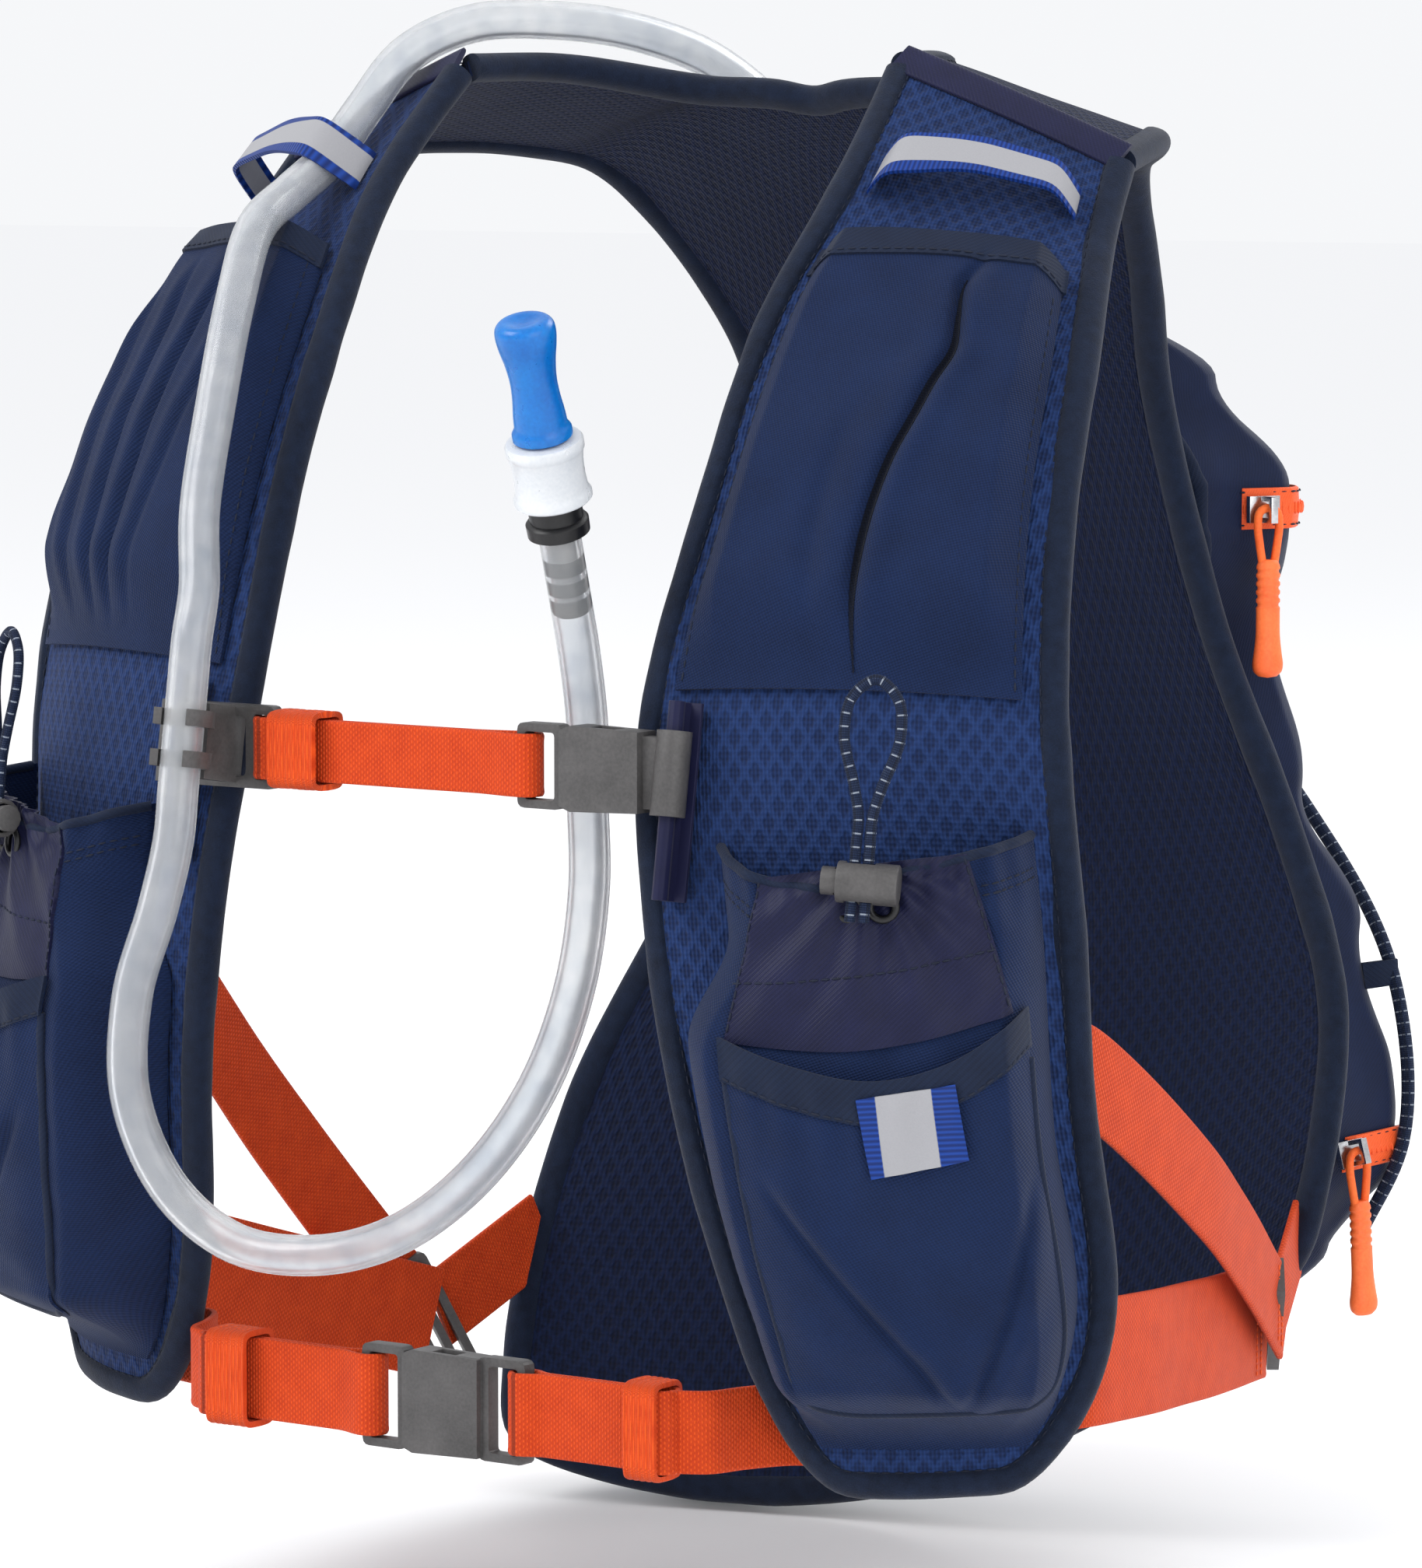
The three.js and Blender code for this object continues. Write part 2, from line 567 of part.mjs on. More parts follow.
// The lower back hangs turned: a turn and a shift that grow downwards and are rigid at each height.
function hang(p) {
  const g = ease(tailEnd, tailStart, p.z) * -1 + 1;
  const yaw = tailYaw * g;
  const roll = tailRoll * g;
  const y = p.y - tailPivotY;
  const x = p.x * Math.cos(yaw) - y * Math.sin(yaw);
  const y2 = p.x * Math.sin(yaw) + y * Math.cos(yaw);
  return vec(x * Math.cos(roll) + tailShift * g, y2 + tailPivotY, p.z + x * Math.sin(roll));
}
function hung(geometry) {
  const g = loose(geometry);
  const p = g.getAttribute('position');
  for (let i = 0; i < p.count; i++) {
    const q = hang(vec().fromBufferAttribute(p, i));
    p.setXYZ(i, q.x, q.y, q.z);
  }
  return g;
}

function backMiddle(v) {
  const p = backInner.getPoint(v);
  return v >= neckV - 1e-9 ? p.setX(0) : p;
}
function backBase(u, v) {
  const inner = backMiddle(v);
  const outer = backOuter.getPoint(v);
  const power = mix(1, 2, ease(neckV - 0.12, neckV, v));
  const bent = u <= 0 ? 0 : u ** power;
  return vec(mix(inner.x, outer.x, u), mix(inner.y, outer.y, bent), mix(inner.z, outer.z, bent));
}
// A point on the left half of the back panel's rear face, raised by a height.
function back(u, v, height = 0) {
  const d = 0.015;
  const u1 = Math.max(u, d);
  const across = backBase(u1 + d, v).sub(backBase(u1 - d, v));
  const down = backBase(u1, Math.min(v + d, 1)).sub(backBase(u1, Math.max(v - d, 0)));
  const normal = down.cross(across).normalize();
  if (normal.y < 0 && v > neckV) {
    normal.negate();
  }
  if (normal.z < 0 && v <= neckV) {
    normal.negate();
  }
  if (u < d && v >= neckV - 1e-9) {
    normal.x = 0;
    normal.normalize();
  }
  return backBase(u, v).addScaledVector(normal, height);
}
const backWidth = (v) => backMiddle(v).distanceTo(backOuter.getPoint(v));
const backLength = backOuter.getLength();
const backOuterU = (v, inset) => 1 - inset / backWidth(v);

// One half of the back panel, left open along the middle line below the neck, and its mirror image.
function backPanel() {
  const rows = 20;
  const columns = 6;
  const neckIndex = Math.round(neckV * rows);
  const vAt = (j) => {
    const v = j / rows;
    if (j === 0) {
      return seamGap / backLength;
    }
    return j === rows ? 1 - panelInset / backLength : v;
  };
  const grid = (height) => Array.from({ length: rows + 1 }, (_, j) => {
    const v = vAt(j);
    return Array.from({ length: columns + 1 }, (_, i) => {
      const u = backOuterU(v, panelInset) * i / columns;
      return back(u, v, height);
    });
  });
  const top = grid(0);
  const low = grid(-meshThickness);
  const out = [];
  for (let j = 0; j < rows; j++) {
    for (let i = 0; i < columns; i++) {
      quad(out, top[j][i], top[j + 1][i], top[j + 1][i + 1], top[j][i + 1]);
      quad(out, low[j][i], low[j][i + 1], low[j + 1][i + 1], low[j + 1][i]);
    }
    quad(out, top[j][columns], top[j + 1][columns], low[j + 1][columns], low[j][columns]);
    if (j < neckIndex) {
      quad(out, top[j][0], low[j][0], low[j + 1][0], top[j + 1][0]);
    }
  }
  for (let i = 0; i < columns; i++) {
    quad(out, top[0][i], top[0][i + 1], low[0][i + 1], low[0][i]);
    quad(out, top[rows][i], low[rows][i], low[rows][i + 1], top[rows][i + 1]);
  }
  const mirror = out.map((p) => vec(-p.x, p.y, p.z));
  for (let i = 0; i < mirror.length; i += 3) {
    [mirror[i + 1], mirror[i + 2]] = [mirror[i + 2], mirror[i + 1]];
  }
  return hung(cut(closedGeometry([...out, ...mirror]), neckRoom(), sweep(backEdgeFrames(), bindingRoom)));
}

function edgeFrames(path) {
  const places = path.map(([u, v, sign]) => {
    const p = back(u, v, -meshThickness / 2);
    return vec(sign * p.x, p.y, p.z);
  });
  const ups = path.map(([u, v, sign]) => {
    const n = back(u, v, 1).sub(back(u, v, 0));
    return vec(sign * n.x, n.y, n.z);
  });
  return framesAlong(places, (i) => ups[i]);
}
// Frames along the neck from the left seam to the right one, a distance in from the edge.
const neckCentreUp = vec(0, 0.67, 0.74);
const neckSeamUp = vec(0.37, 0, 0.93);
function neckFrames(inset) {
  const steps = 14;
  const half = [];
  for (let j = 0; j <= steps; j++) {
    const share = j / steps;
    half.push({ at: backInner.getPoint(mix(seamGap / backLength, neckV, share)),
      up: neckSeamUp.clone().lerp(neckCentreUp, share).normalize() });
  }
  half[steps].at.x = 0;
  const other = half.slice(0, steps).reverse().map(({ at, up }) => ({
    at: vec(-at.x, at.y, at.z), up: vec(-up.x, up.y, up.z) }));
  const whole = [...half, ...other];
  const frames = framesAlong(whole.map(({ at }) => at), (i) => whole[i].up);
  const outward = frames[0].side.x > 0 ? 1 : -1;
  return frames.map(({ at, side, up }) => ({ at: at.clone().addScaledVector(side, outward * inset)
    .addScaledVector(up, -meshThickness / 2), side, up }));
}
const neckBinding = () => sweep(neckFrames(bindingWidth / 2), bindingSection);
const neckRoom = () => sweep(neckFrames(bindingWidth / 2 - gap), flatSection(bindingWidth + 3 * gap, 16));
function backEdgeFrames() {
  const steps = 24;
  const bottom = 1 - bindingWidth / seamGap / backLength;
  const side = [];
  for (let j = 0; j <= steps; j++) {
    const v = mix(seamGap / backLength, bottom, j / steps);
    side.push([backOuterU(v, bindingWidth / 2), v, 1]);
  }
  const hemSteps = 6;
  const corner = backOuterU(bottom, bindingWidth / 2);
  for (let i = hemSteps - 1; i >= 1; i--) {
    side.push([corner * i / hemSteps, bottom, 1]);
  }
  const right = side.map(([u, v]) => [u, v, -1]).reverse();
  return edgeFrames([...side, [0, bottom, 1], ...right]);
}
const backBinding = () => hung(sweep(backEdgeFrames(), bindingSection));

// ---------------------------------------------------------------- pack shell
// Half width and rear depth of the pack at each height, before it hangs turned.
const upperZipHeight = -119;
const lowerZipHeight = -318;
const zipHalf = 7;
const packHalfWidth = valueCurve([[-60, 44], [-85, 65], [-112, 77], [-126, 77], [-150, 71], [-200, 80],
  [-245, 98], [-311, 117], [-325, 117], [-346, 106], [-368, 84]]);
const packRear = valueCurve([[-60, 137], [-85, 162], [-112, 181], [-126, 181], [-150, 182], [-200, 192],
  [-245, 197], [-311, 197], [-325, 197], [-346, 184], [-368, 158]]);
const packKnots = [-60, -72, -85, -98, -112, -126, -150, -175, -200, -222, -245, -278, -311, -325, -335, -346,
  -357, -368];
function valueAt(curve, z) {
  const list = curve.points;
  let i = 0;
  while (i < list.length - 2 && z < list[i + 1].x) {
    i++;
  }
  const t = THREE.MathUtils.clamp((z - list[i].x) / (list[i + 1].x - list[i].x), 0, 1);
  return mix(list[i].y, list[i + 1].y, t * t * (3 - 2 * t));
}
// Y of the back panel's rear face at an x and a height, by halving.
function backY(x, z) {
  let a = neckV;
  let b = 1;
  for (let i = 0; i < 30; i++) {
    const v = (a + b) / 2;
    const u = Math.min(Math.abs(x) / backOuter.getPoint(v).x, 1);
    if (backBase(u, v).z > z) {
      a = v;
    } else {
      b = v;
    }
  }
  const u = Math.min(Math.abs(x) / backOuter.getPoint(a).x, 1);
  return backBase(u, a).y;
}
const mouthLip = 12;                // how far the pack's mouth lies in from its side
const mouthStand = bindingThickness / 2 + 1.5;
const packCorner = 14;
// The plan outline of half the pack at a height, from the middle of the rear face to the mouth.
// The wall stands straight across each zip's tape.
function zipLevel(z) {
  const level = [upperZipHeight, lowerZipHeight].find((h) => Math.abs(z - h) <= zipHalf);
  return level ?? z;
}
function packOutline(height, offset) {
  const z = zipLevel(height);
  const hx = valueAt(packHalfWidth, z) + offset;
  const rear = valueAt(packRear, z) + offset;
  const mouthX = hx - mouthLip - offset;
  const mouthY = backY(Math.min(mouthX, backOuter.getPoint(0.5).x), z) + mouthStand;
  const r = Math.min(packCorner, (rear - mouthY) * 0.6);
  const path = new THREE.Path();
  path.moveTo(0, rear);
  path.lineTo(hx - r, rear);
  path.absarc(hx - r, rear - r, r, Math.PI / 2, 0, true);
  path.lineTo(mouthX, mouthY);
  return path;
}
const packColumns = 9;
function packPoint(s, z, offset) {
  const p = packOutline(z, offset).getPointAt(Math.abs(s));
  return vec(Math.sign(s) * p.x, p.y, z);
}
function packShell() {
  const rows = packKnots.length - 1;
  const place = (offset) => (s, t) => packPoint(2 * s - 1, packKnots[Math.round(t * rows)], offset);
  return hung(sheet(2 * packColumns, rows, place(0), place(-packWall)));
}
// A zip tape round the pack at a height, standing just proud of the shell.
const zipThickness = 1.6;
const zipStand = 0.8;
function zipTape(height) {
  const place = (offset) => (s, t) => {
    const k = (2 * s - 1) * (packColumns - 1) / packColumns;
    return packPoint(k, height + mix(zipHalf - 1.5, -zipHalf + 1.5, t), offset);
  };
  return hung(sheet(2 * packColumns - 2, 1, place(zipStand + zipThickness), place(zipStand)));
}

// The zip slider sits on the side wall at the wearer's left end of the zip.
const sliderLength = 9;
const sliderHeight = 7;
const sliderThickness = 3;
const sliderStand = 1.1;            // the slider's body stands off the flat tape
const sliderRest = 16;              // from the pack's mouth to the slider's middle
function sideWallFrame(height) {
  const a = packPoint(0.985, height, zipStand + zipThickness);
  const b = packPoint(0.9, height, zipStand + zipThickness);
  const along = b.clone().sub(a).normalize();
  const out = vec(along.y, -along.x, 0);
  return { a, along, out };
}
function zipFrame(height) {
  const { a, along, out } = sideWallFrame(height);
  const origin = a.clone().addScaledVector(along, sliderRest).addScaledVector(out, gap);
  const turn = (d) => hang(origin.clone().add(d)).sub(hang(origin)).normalize();
  const flatTurn = (d) => turn(vec(d.x, d.y, 0));
  const x = flatTurn(along);
  const y = flatTurn(out);
  const z = x.clone().cross(y).normalize();
  return { origin: hang(origin), x, y, z };
}
const inFrame = (geometry, { origin, x, y, z }) => {
  const m = new THREE.Matrix4().makeBasis(x, y, z).setPosition(origin);
  const g = loose(geometry).applyMatrix4(m);
  return m.determinant() < 0 ? flipped(g) : g;
};
const bridgeRoom = 3.8;             // the slider's eye, through its bridge
const bridgeWall = 1.4;
function zipSlider(frame) {
  const top = sliderThickness + bridgeRoom + bridgeWall;
  const body = blockAt(-sliderLength / 2, sliderLength / 2, sliderStand, sliderThickness, -sliderHeight / 2,
    sliderHeight / 2);
  const bridge = cut(blockAt(-1, 1, sliderThickness - 0.5, top, -3.4, 3.4),
    blockAt(-2, 2, sliderThickness, top - bridgeWall, -2.2, 2.2));
  return inFrame(join(body, bridge), frame);
}
// The pull hangs straight down from the slider's eye: a loop of cord into a rubber grip.
const pullCord = 1.1;
const gripTop = -13;
const gripLength = 31;
function zipPull(frame) {
  const down = vec(0, 0, -1).addScaledVector(frame.x, frame.x.z).normalize();
  const up = down.clone().negate();
  const origin = frame.origin.clone().addScaledVector(frame.y, sliderThickness + bridgeRoom / 2);
  const pullFrame = { origin, x: frame.x, y: up.clone().cross(frame.x), z: up };
  const loop = cord(new THREE.CatmullRomCurve3([[-1.2, -17], [-2.6, -9], [-3.2, -4], [-2.6, -0.6], [0, 0.5],
    [2.6, -0.6], [3.2, -4], [2.6, -9], [1.2, -17]].map(([x, z]) => vec(x, 0, z))), pullCord, 6, 20);
  const foot = gripTop - gripLength;
  const profile = [[0, foot], [3.2, foot + 1], [4.3, foot + 4],
    [3.5, gripTop - 16], [3.5, gripTop - 8], [2.4, gripTop], [0, gripTop]];
  const grip = new THREE.LatheGeometry(profile.map(([r, h]) => new THREE.Vector2(r, h)), 10)
    .rotateX(Math.PI / 2).scale(1, 0.72, 1);
  return inFrame(join(loop, grip), pullFrame);
}
const upperZipFrame = zipFrame(upperZipHeight);
const lowerZipFrame = zipFrame(lowerZipHeight);

// An elastic cord over the pack's rear, from one lower corner up and round to the other.
const bungeeStand = 6.6;
const backBungee = () => hung(cord(new THREE.CatmullRomCurve3([[-0.76, -346], [-0.78, -318], [-0.74, -262],
  [-0.6, -216], [-0.4, -182], [0, -168], [0.4, -182], [0.6, -216], [0.74, -262], [0.78, -318], [0.76, -346]]
  .map(([s, z]) => packPoint(s, z, bungeeStand))), backBungeeRadius, 6, 44));

// ---------------------------------------------------------------- reservoir and its inner hose
const reservoirTop = -104;
const reservoirBottom = -316;
function reservoirPoint(s, t, side) {
  const k = 2 * s - 1;
  const m = 2 * t - 1;
  const x = k * reservoirHalfWidth;
  const z = mix(reservoirTop, reservoirBottom, t);
  const thick = 1 + (reservoirThickness - 1) * Math.sqrt((1 - k ** 4) * (1 - m ** 6));
  return vec(x, backY(x, z) + 2 * gap + (side ? thick : 0), z);
}
// The bag, with the port that its hose leaves welded to its rear face.
const portAt = [-20, -292];
const portRadius = 8;
const portHeight = 6;
function reservoir() {
  const bag = sheet(8, 12, (s, t) => reservoirPoint(s, t, 1), (s, t) => reservoirPoint(s, t, 0));
  const face = reservoirPoint(0.5 + portAt[0] / 2 / reservoirHalfWidth,
    (portAt[1] - reservoirTop) / (reservoirBottom - reservoirTop), 1).y;
  const port = new THREE.CylinderGeometry(portRadius, portRadius, 2 * portHeight, 14)
    .translate(portAt[0], face, portAt[1]);
  return hung(join(bag, port));
}
// The slide bar that closes the reservoir's folded top.
const closureTop = -90.5;
const closureHeight = 12;
const closureThickness = 6;
function reservoirClosure() {
  const half = 52;
  const place = (offset) => (s, t) => {
    const z = mix(closureTop, closureTop - closureHeight, t);
    return vec(mix(-half, half, s), backY(0, closureTop - closureHeight) + 1 + offset, z);
  };
  return hung(sheet(2, 1, place(closureThickness), place(0)));
}
const hoseExit = vec(-34, 133, -70.5);        // where the hose leaves the pack
const hoseExitAlong = vec(0, -0.64, 0.77);
const hoseExitStep = 11;
const exitPoint = (d) => hoseExit.clone().addScaledVector(hoseExitAlong, d).toArray();
// The hose leaves the outlet, climbs behind the reservoir and ends at the pack's open top.
const innerHoseRoute = [[-20, 181, -292], [-22, 186, -276], [-28, 184, -250], [-34, 182, -210],
  [-36, 178, -170], [-36, 171, -135], [-35.5, 165, -114], [-35, 154, -94],
  exitPoint(-hoseExitStep), exitPoint(-gap)];
const innerHose = () => {
  const curve = new THREE.CatmullRomCurve3(innerHoseRoute.map(([x, y, z]) => hang(vec(x, y, z))));
  return cord(curve, hoseRadius, 8, 26);
};

// ---------------------------------------------------------------- drink hose and bite valve
const hoseRoute = [exitPoint(gap), exitPoint(hoseExitStep), [-33, 112, -42], [-34, 98, -20], [-41, 76, -3],
  [-52, 56, 5], [-63, 34, 8], [-74, 14, 7], [-82, -3, -1], [-86, -15.4, -14.6], [-88, -27.5, -27],
  [-88, -42, -35], [-86, -59, -43.5], [-80, -75, -61], [-73, -92, -87], [-66, -107, -112],
  [-59, -116, -130], [-57, -121.3, -141.6], [-57, -123.2, -153.5], [-57, -125, -165.3], [-57, -126.9, -177.2],
  [-57, -128.7, -189], [-61, -130, -206], [-70, -129, -228], [-74, -125, -254], [-66, -120, -276],
  [-50, -116, -288], [-30, -112, -290], [-7, -109, -284], [16, -107, -268], [32, -103, -246],
  [39.5, -98, -222], [40, -92.5, -198], [38.5, -91, -176], [38.5, -91, -160], [40, -96, -143],
  [42, -103, -127], [43.3, -108.5, -113.5]];
const hoseCurve = new THREE.CatmullRomCurve3(hoseRoute.map(([x, y, z]) => vec(x, y, z)));
const drinkHose = () => cord(hoseCurve, hoseRadius, 8, 80);
const valveAlong = hoseCurve.getTangent(1);
const valveOrigin = hoseCurve.getPoint(1);
function onValve(profile, sides) {
  const g = new THREE.LatheGeometry(profile.map(([r, h]) => new THREE.Vector2(r, h)), sides);
  g.applyQuaternion(new THREE.Quaternion().setFromUnitVectors(vec(0, 1, 0), valveAlong));
  return g.translate(...valveOrigin.toArray());
}
const collarBore = 4.4;
const hoseConnector = () => onValve([[0, 0.3], [7.8, 0.3], [7.8, 4.4], [6.4, 4.4], [6.4, 8.5], [4, 8.5],
  [4, 19.5], [0, 19.5]], 14);
const valveCollar = () => onValve([[collarBore, 9], [9.2, 9], [9.4, 10], [8.8, 21], [9.2, 22],
  [9.2, 25], [0, 25], [0, 24.2], [collarBore, 24.2], [collarBore, 9]], 14);
const mouthpiece = () => onValve([[0, 25.4], [7, 25.4], [7, 27.5], [6.2, 28.5], [6, 33], [5.1, 39], [6.2, 45],
  [7.2, 49], [7.2, 53], [5.4, 55], [0, 55]], 14);

// ---------------------------------------------------------------- bungee loops and cord locks
const lockV = bottlePocketTop + 0.012;
const lockU = 0.1;
const barrelRadius = 4.8;
const lockHeight = gap * 2 + tapeThickness + bottleSwell(lockU, 0.04) + barrelRadius + 1;
const lockDown = vec(0, -0.15, -1).normalize();
function lockFrame() {
  const origin = front(lockU, lockV, lockHeight);
  const across = front(lockU + 0.1, lockV).sub(front(lockU - 0.1, lockV));
  const x = across.addScaledVector(lockDown, -across.dot(lockDown)).normalize();
  const z = lockDown.clone().negate();
  return { origin, x, y: z.clone().cross(x), z };
}
const barrelBore = 3.6;
const plungerRadius = 3.25;
const plungerTravel = 2.5;
const legAt = 1.6;                  // each leg of the loop from the lock's middle
const cordHole = legAt + bungeeRadius + 0.35;
const barrelStart = -5.2;
const barrelEnd = 9;
const plungerStart = barrelStart - 3.6;
const plungerEnd = cordHole + 1;
const springRoom = 0.2;
const alongX = (radius, from, to, sides) => new THREE.CylinderGeometry(radius, radius, to - from, sides)
  .rotateZ(Math.PI / 2).translate((from + to) / 2, 0, 0);
const cordSlot = (from, to) => blockAt(from, to, -bungeeRadius - 0.35, bungeeRadius + 0.35, -9, 9);
const lockBody = cut(alongX(barrelRadius, barrelStart, barrelEnd, 14),
  alongX(barrelBore, barrelStart - 1, barrelEnd - 1.2, 12), cordSlot(-cordHole, cordHole));
const lockPlunger = cut(alongX(plungerRadius, plungerStart, plungerEnd, 12),
  cordSlot(-cordHole - plungerTravel, cordHole));
function lockSpring() {
  const turns = 2.5;
  const from = plungerEnd + springRoom + 0.3;
  const to = barrelEnd - 1.2 - springRoom - 0.3;
  const steps = 22;
  const helix = new THREE.CatmullRomCurve3(Array.from({ length: steps + 1 }, (_, i) => {
    const angle = turns * 2 * Math.PI * i / steps;
    return vec(mix(from, to, i / steps), 2.4 * Math.cos(angle), 2.4 * Math.sin(angle));
  }));
  return cord(helix, 0.3, 5, 26);
}
const bungeeLoop = cord(new THREE.CatmullRomCurve3([[-legAt, -9], [-legAt, 0], [-legAt, 9], [-legAt, 15],
  [-3.2, 22], [-6.4, 33], [-5.4, 42], [0, 46.5], [5.4, 42], [6.4, 33], [3.2, 22], [legAt, 15], [legAt, 9],
  [legAt, 0], [legAt, -9]].map(([x, z]) => vec(x, 0, z))), bungeeRadius, 6, 48);

// ---------------------------------------------------------------- side straps
// Each side has two straps from the front panel to a slider, and a tab from the slider to the back.
const sliderPlaceLeft = vec(118 * chestScale, 96, -319 * torsoScale);
const sliderPlaceRight = vec(-137 * chestScale, 78, -342 * torsoScale);
const strapSliderLength = 12;
const strapSliderWall = 2.4;
const strapSteps = 15;
const strapBehind = 12.5;           // the straps pass this far behind the front panel's face
function sideParts(place, sign, upperV, backCorner) {
  const mirror = (p) => vec(sign * p.x, p.y, p.z);
  const tab = backCorner.clone().sub(place);
  const along = tab.clone().normalize();
  const up = vec(0, 0, 1).addScaledVector(along, -along.z).normalize();
  const frame = { origin: place, x: along, y: up.clone().cross(along), z: up };
  const half = lowerWebbing / 2 + 2.6;
  const ring = cut(
    plate(rounded(-strapSliderLength / 2, strapSliderLength / 2, -half, half, 2), 3),
    plate(rounded(-strapSliderLength / 2 + strapSliderWall, -1.1, -half + 2, half - 2, 0.8), 5),
    plate(rounded(1.1, strapSliderLength / 2 - strapSliderWall, -half + 2, half - 2, 0.8), 5));
  const front0 = place.clone().addScaledVector(along, -strapSliderLength / 2 - 4);
  const outward = vec(sign, 0, 0);
  const rear0 = place.clone().addScaledVector(along, strapSliderLength / 2 + 1.5);
  const route = (v, inset, bow, lift, short) => {
    const a = mirror(front(edgeU(v, inset), v, -strapBehind));
    const b = mirror(front(edgeU(v, -2), v, -strapBehind));
    const c = front0.clone().addScaledVector(outward, lift).addScaledVector(along, -short);
    const middle = b.clone().lerp(c, 0.5).addScaledVector(outward, bow);
    return [a, b, middle, c].map((p) => [p.x / chestScale, p.y, p.z / torsoScale]);
  };
  return {
    ring: inFrame(ring, frame),
    upper: webbing(route(upperV, 14, 7, 3.8, 3.5), upright, sideWebbing, webbingThickness, strapSteps),
    lower: webbing(route(0.925, 14, 3, -0.3, 9), upright, lowerWebbing, webbingThickness, strapSteps),
    tab: webbing([rear0, rear0.clone().lerp(backCorner, 0.5), backCorner].map((p) =>
      [p.x / chestScale, p.y, p.z / torsoScale]), upright, sideWebbing, webbingThickness, 4),
  };
}
const cornerInset = 9;
const cornerDepth = 8.5;            // the tab's end lies this far inside the panel
function backCorner(sign) {
  const v = 0.87;
  const p = back(backOuterU(v, bindingWidth + cornerInset), v, -meshThickness - cornerDepth);
  return hang(vec(sign * p.x, p.y, p.z));
}
const leftSide = sideParts(sliderPlaceLeft, 1, 0.725, backCorner(1));
const rightSide = sideParts(sliderPlaceRight, -1, 0.6, backCorner(-1));

// ---------------------------------------------------------------- assembly
const root = new THREE.Group();
const finish = (color, roughness, metalness = 0) => ({ color, roughness, metalness });
const finishes = {
  mesh: finish(0x24407a, 0.9),
  stretch: finish(0x1f3560, 0.85),
  binding: finish(0x2a3a55, 0.95),
  tape: finish(0x2c2c5c, 0.7),
  reflective: finish(0xb9b9bd, 0.4),
  webbing: finish(0xe85a28, 0.75),
  plastic: finish(0x6f6f70, 0.45),
  bungee: finish(0x26344f, 0.8),
  steel: finish(0xb0b0b0, 0.3, 1),
  pack: finish(0x22345f, 0.8),
  zip: finish(0xf0663c, 0.6),
  grip: finish(0xff7030, 0.55),
  reservoir: finish(0x9db8d0, 0.3),
  hose: finish(0xd8dde2, 0.15),
  black: finish(0x151515, 0.4),
  collar: finish(0xe8eaee, 0.35),
  silicone: finish(0x0a93e6, 0.35),
};
function add(name, geometry, finishName) {
  const g = loose(geometry);
  g.computeVertexNormals();
  const mesh = new THREE.Mesh(g, new THREE.MeshStandardMaterial(finishes[finishName]));
  mesh.name = name;
  root.add(mesh);
}
function addPair(name, geometry, finishName) {
  add(`${name}_left`, geometry, finishName);
  add(`${name}_right`, mirrored(geometry), finishName);
}

add('back_panel', backPanel(), 'mesh');
add('neck_binding', neckBinding(), 'binding');
add('back_binding', backBinding(), 'binding');
addPair('front_panel', frontPanel, 'mesh');
addPair('front_binding', frontBinding(), 'binding');
add('reflective_loop_left', reflectiveLoop(loopRise), 'reflective');
add('reflective_loop_right', mirrored(reflectiveLoop(hoseLoopRise)), 'reflective');
addPair('upper_pocket', upperPocket(), 'stretch');
addPair('bottle_pocket', bottlePocket(), 'stretch');
addPair('small_pocket', smallPocket(), 'stretch');
addPair('chest_rail', chestRail(), 'tape');
add('chest_webbing', chestBand, 'webbing');
add('chest_keeper', chestKeeper, 'webbing');
add('chest_buckle_male', chestMale, 'plastic');
add('chest_buckle_female', chestFemale(), 'plastic');
add('chest_hook', chestHook(), 'plastic');
add('waist_webbing_right', waistBand(waistRightStart, -1), 'webbing');
add('waist_webbing_left', waistBand(waistLeftStart, 1), 'webbing');
add('waist_keeper_right', waistKeeperRight, 'webbing');
add('waist_keeper_left', waistKeeperLeft, 'webbing');
add('waist_buckle_male', waistMale, 'plastic');
add('waist_buckle_female', waistFemale(), 'plastic');
add('pack_shell', packShell(), 'pack');
add('upper_zip', zipTape(upperZipHeight), 'zip');
add('lower_zip', zipTape(lowerZipHeight), 'zip');
add('upper_zip_slider', zipSlider(upperZipFrame), 'steel');
add('lower_zip_slider', zipSlider(lowerZipFrame), 'steel');
add('upper_zip_pull', zipPull(upperZipFrame), 'grip');
add('lower_zip_pull', zipPull(lowerZipFrame), 'grip');
add('back_bungee', backBungee(), 'bungee');
add('reservoir', reservoir(), 'reservoir');
add('reservoir_closure', reservoirClosure(), 'plastic');
add('reservoir_hose', innerHose(), 'hose');
add('drink_hose', drinkHose(), 'hose');
add('hose_connector', hoseConnector(), 'black');
add('valve_collar', valveCollar(), 'collar');
add('mouthpiece', mouthpiece(), 'silicone');
const lock = lockFrame();
addPair('bungee_loop', inFrame(bungeeLoop, lock), 'bungee');
addPair('cord_lock_body', inFrame(lockBody, lock), 'plastic');
addPair('cord_lock_plunger', inFrame(lockPlunger, lock), 'plastic');
addPair('cord_lock_spring', inFrame(lockSpring(), lock), 'steel');
for (const [side, parts] of [['left', leftSide], ['right', rightSide]]) {
  add(`side_strap_upper_${side}`, parts.upper, 'webbing');
  add(`side_strap_lower_${side}`, parts.lower, 'webbing');
  add(`side_slider_${side}`, parts.ring, 'plastic');
  add(`side_tab_${side}`, parts.tab, 'webbing');
}

export default root;
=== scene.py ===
"""Visual model of a running hydration pack: a mesh vest with pockets, a rear pack, straps and a drink hose.

Sizes inside the functions are in millimetres; every finished mesh is in metres, in the frame's place.
"""
import math

import bmesh
import bpy
import numpy as np
from mathutils import Matrix, Vector


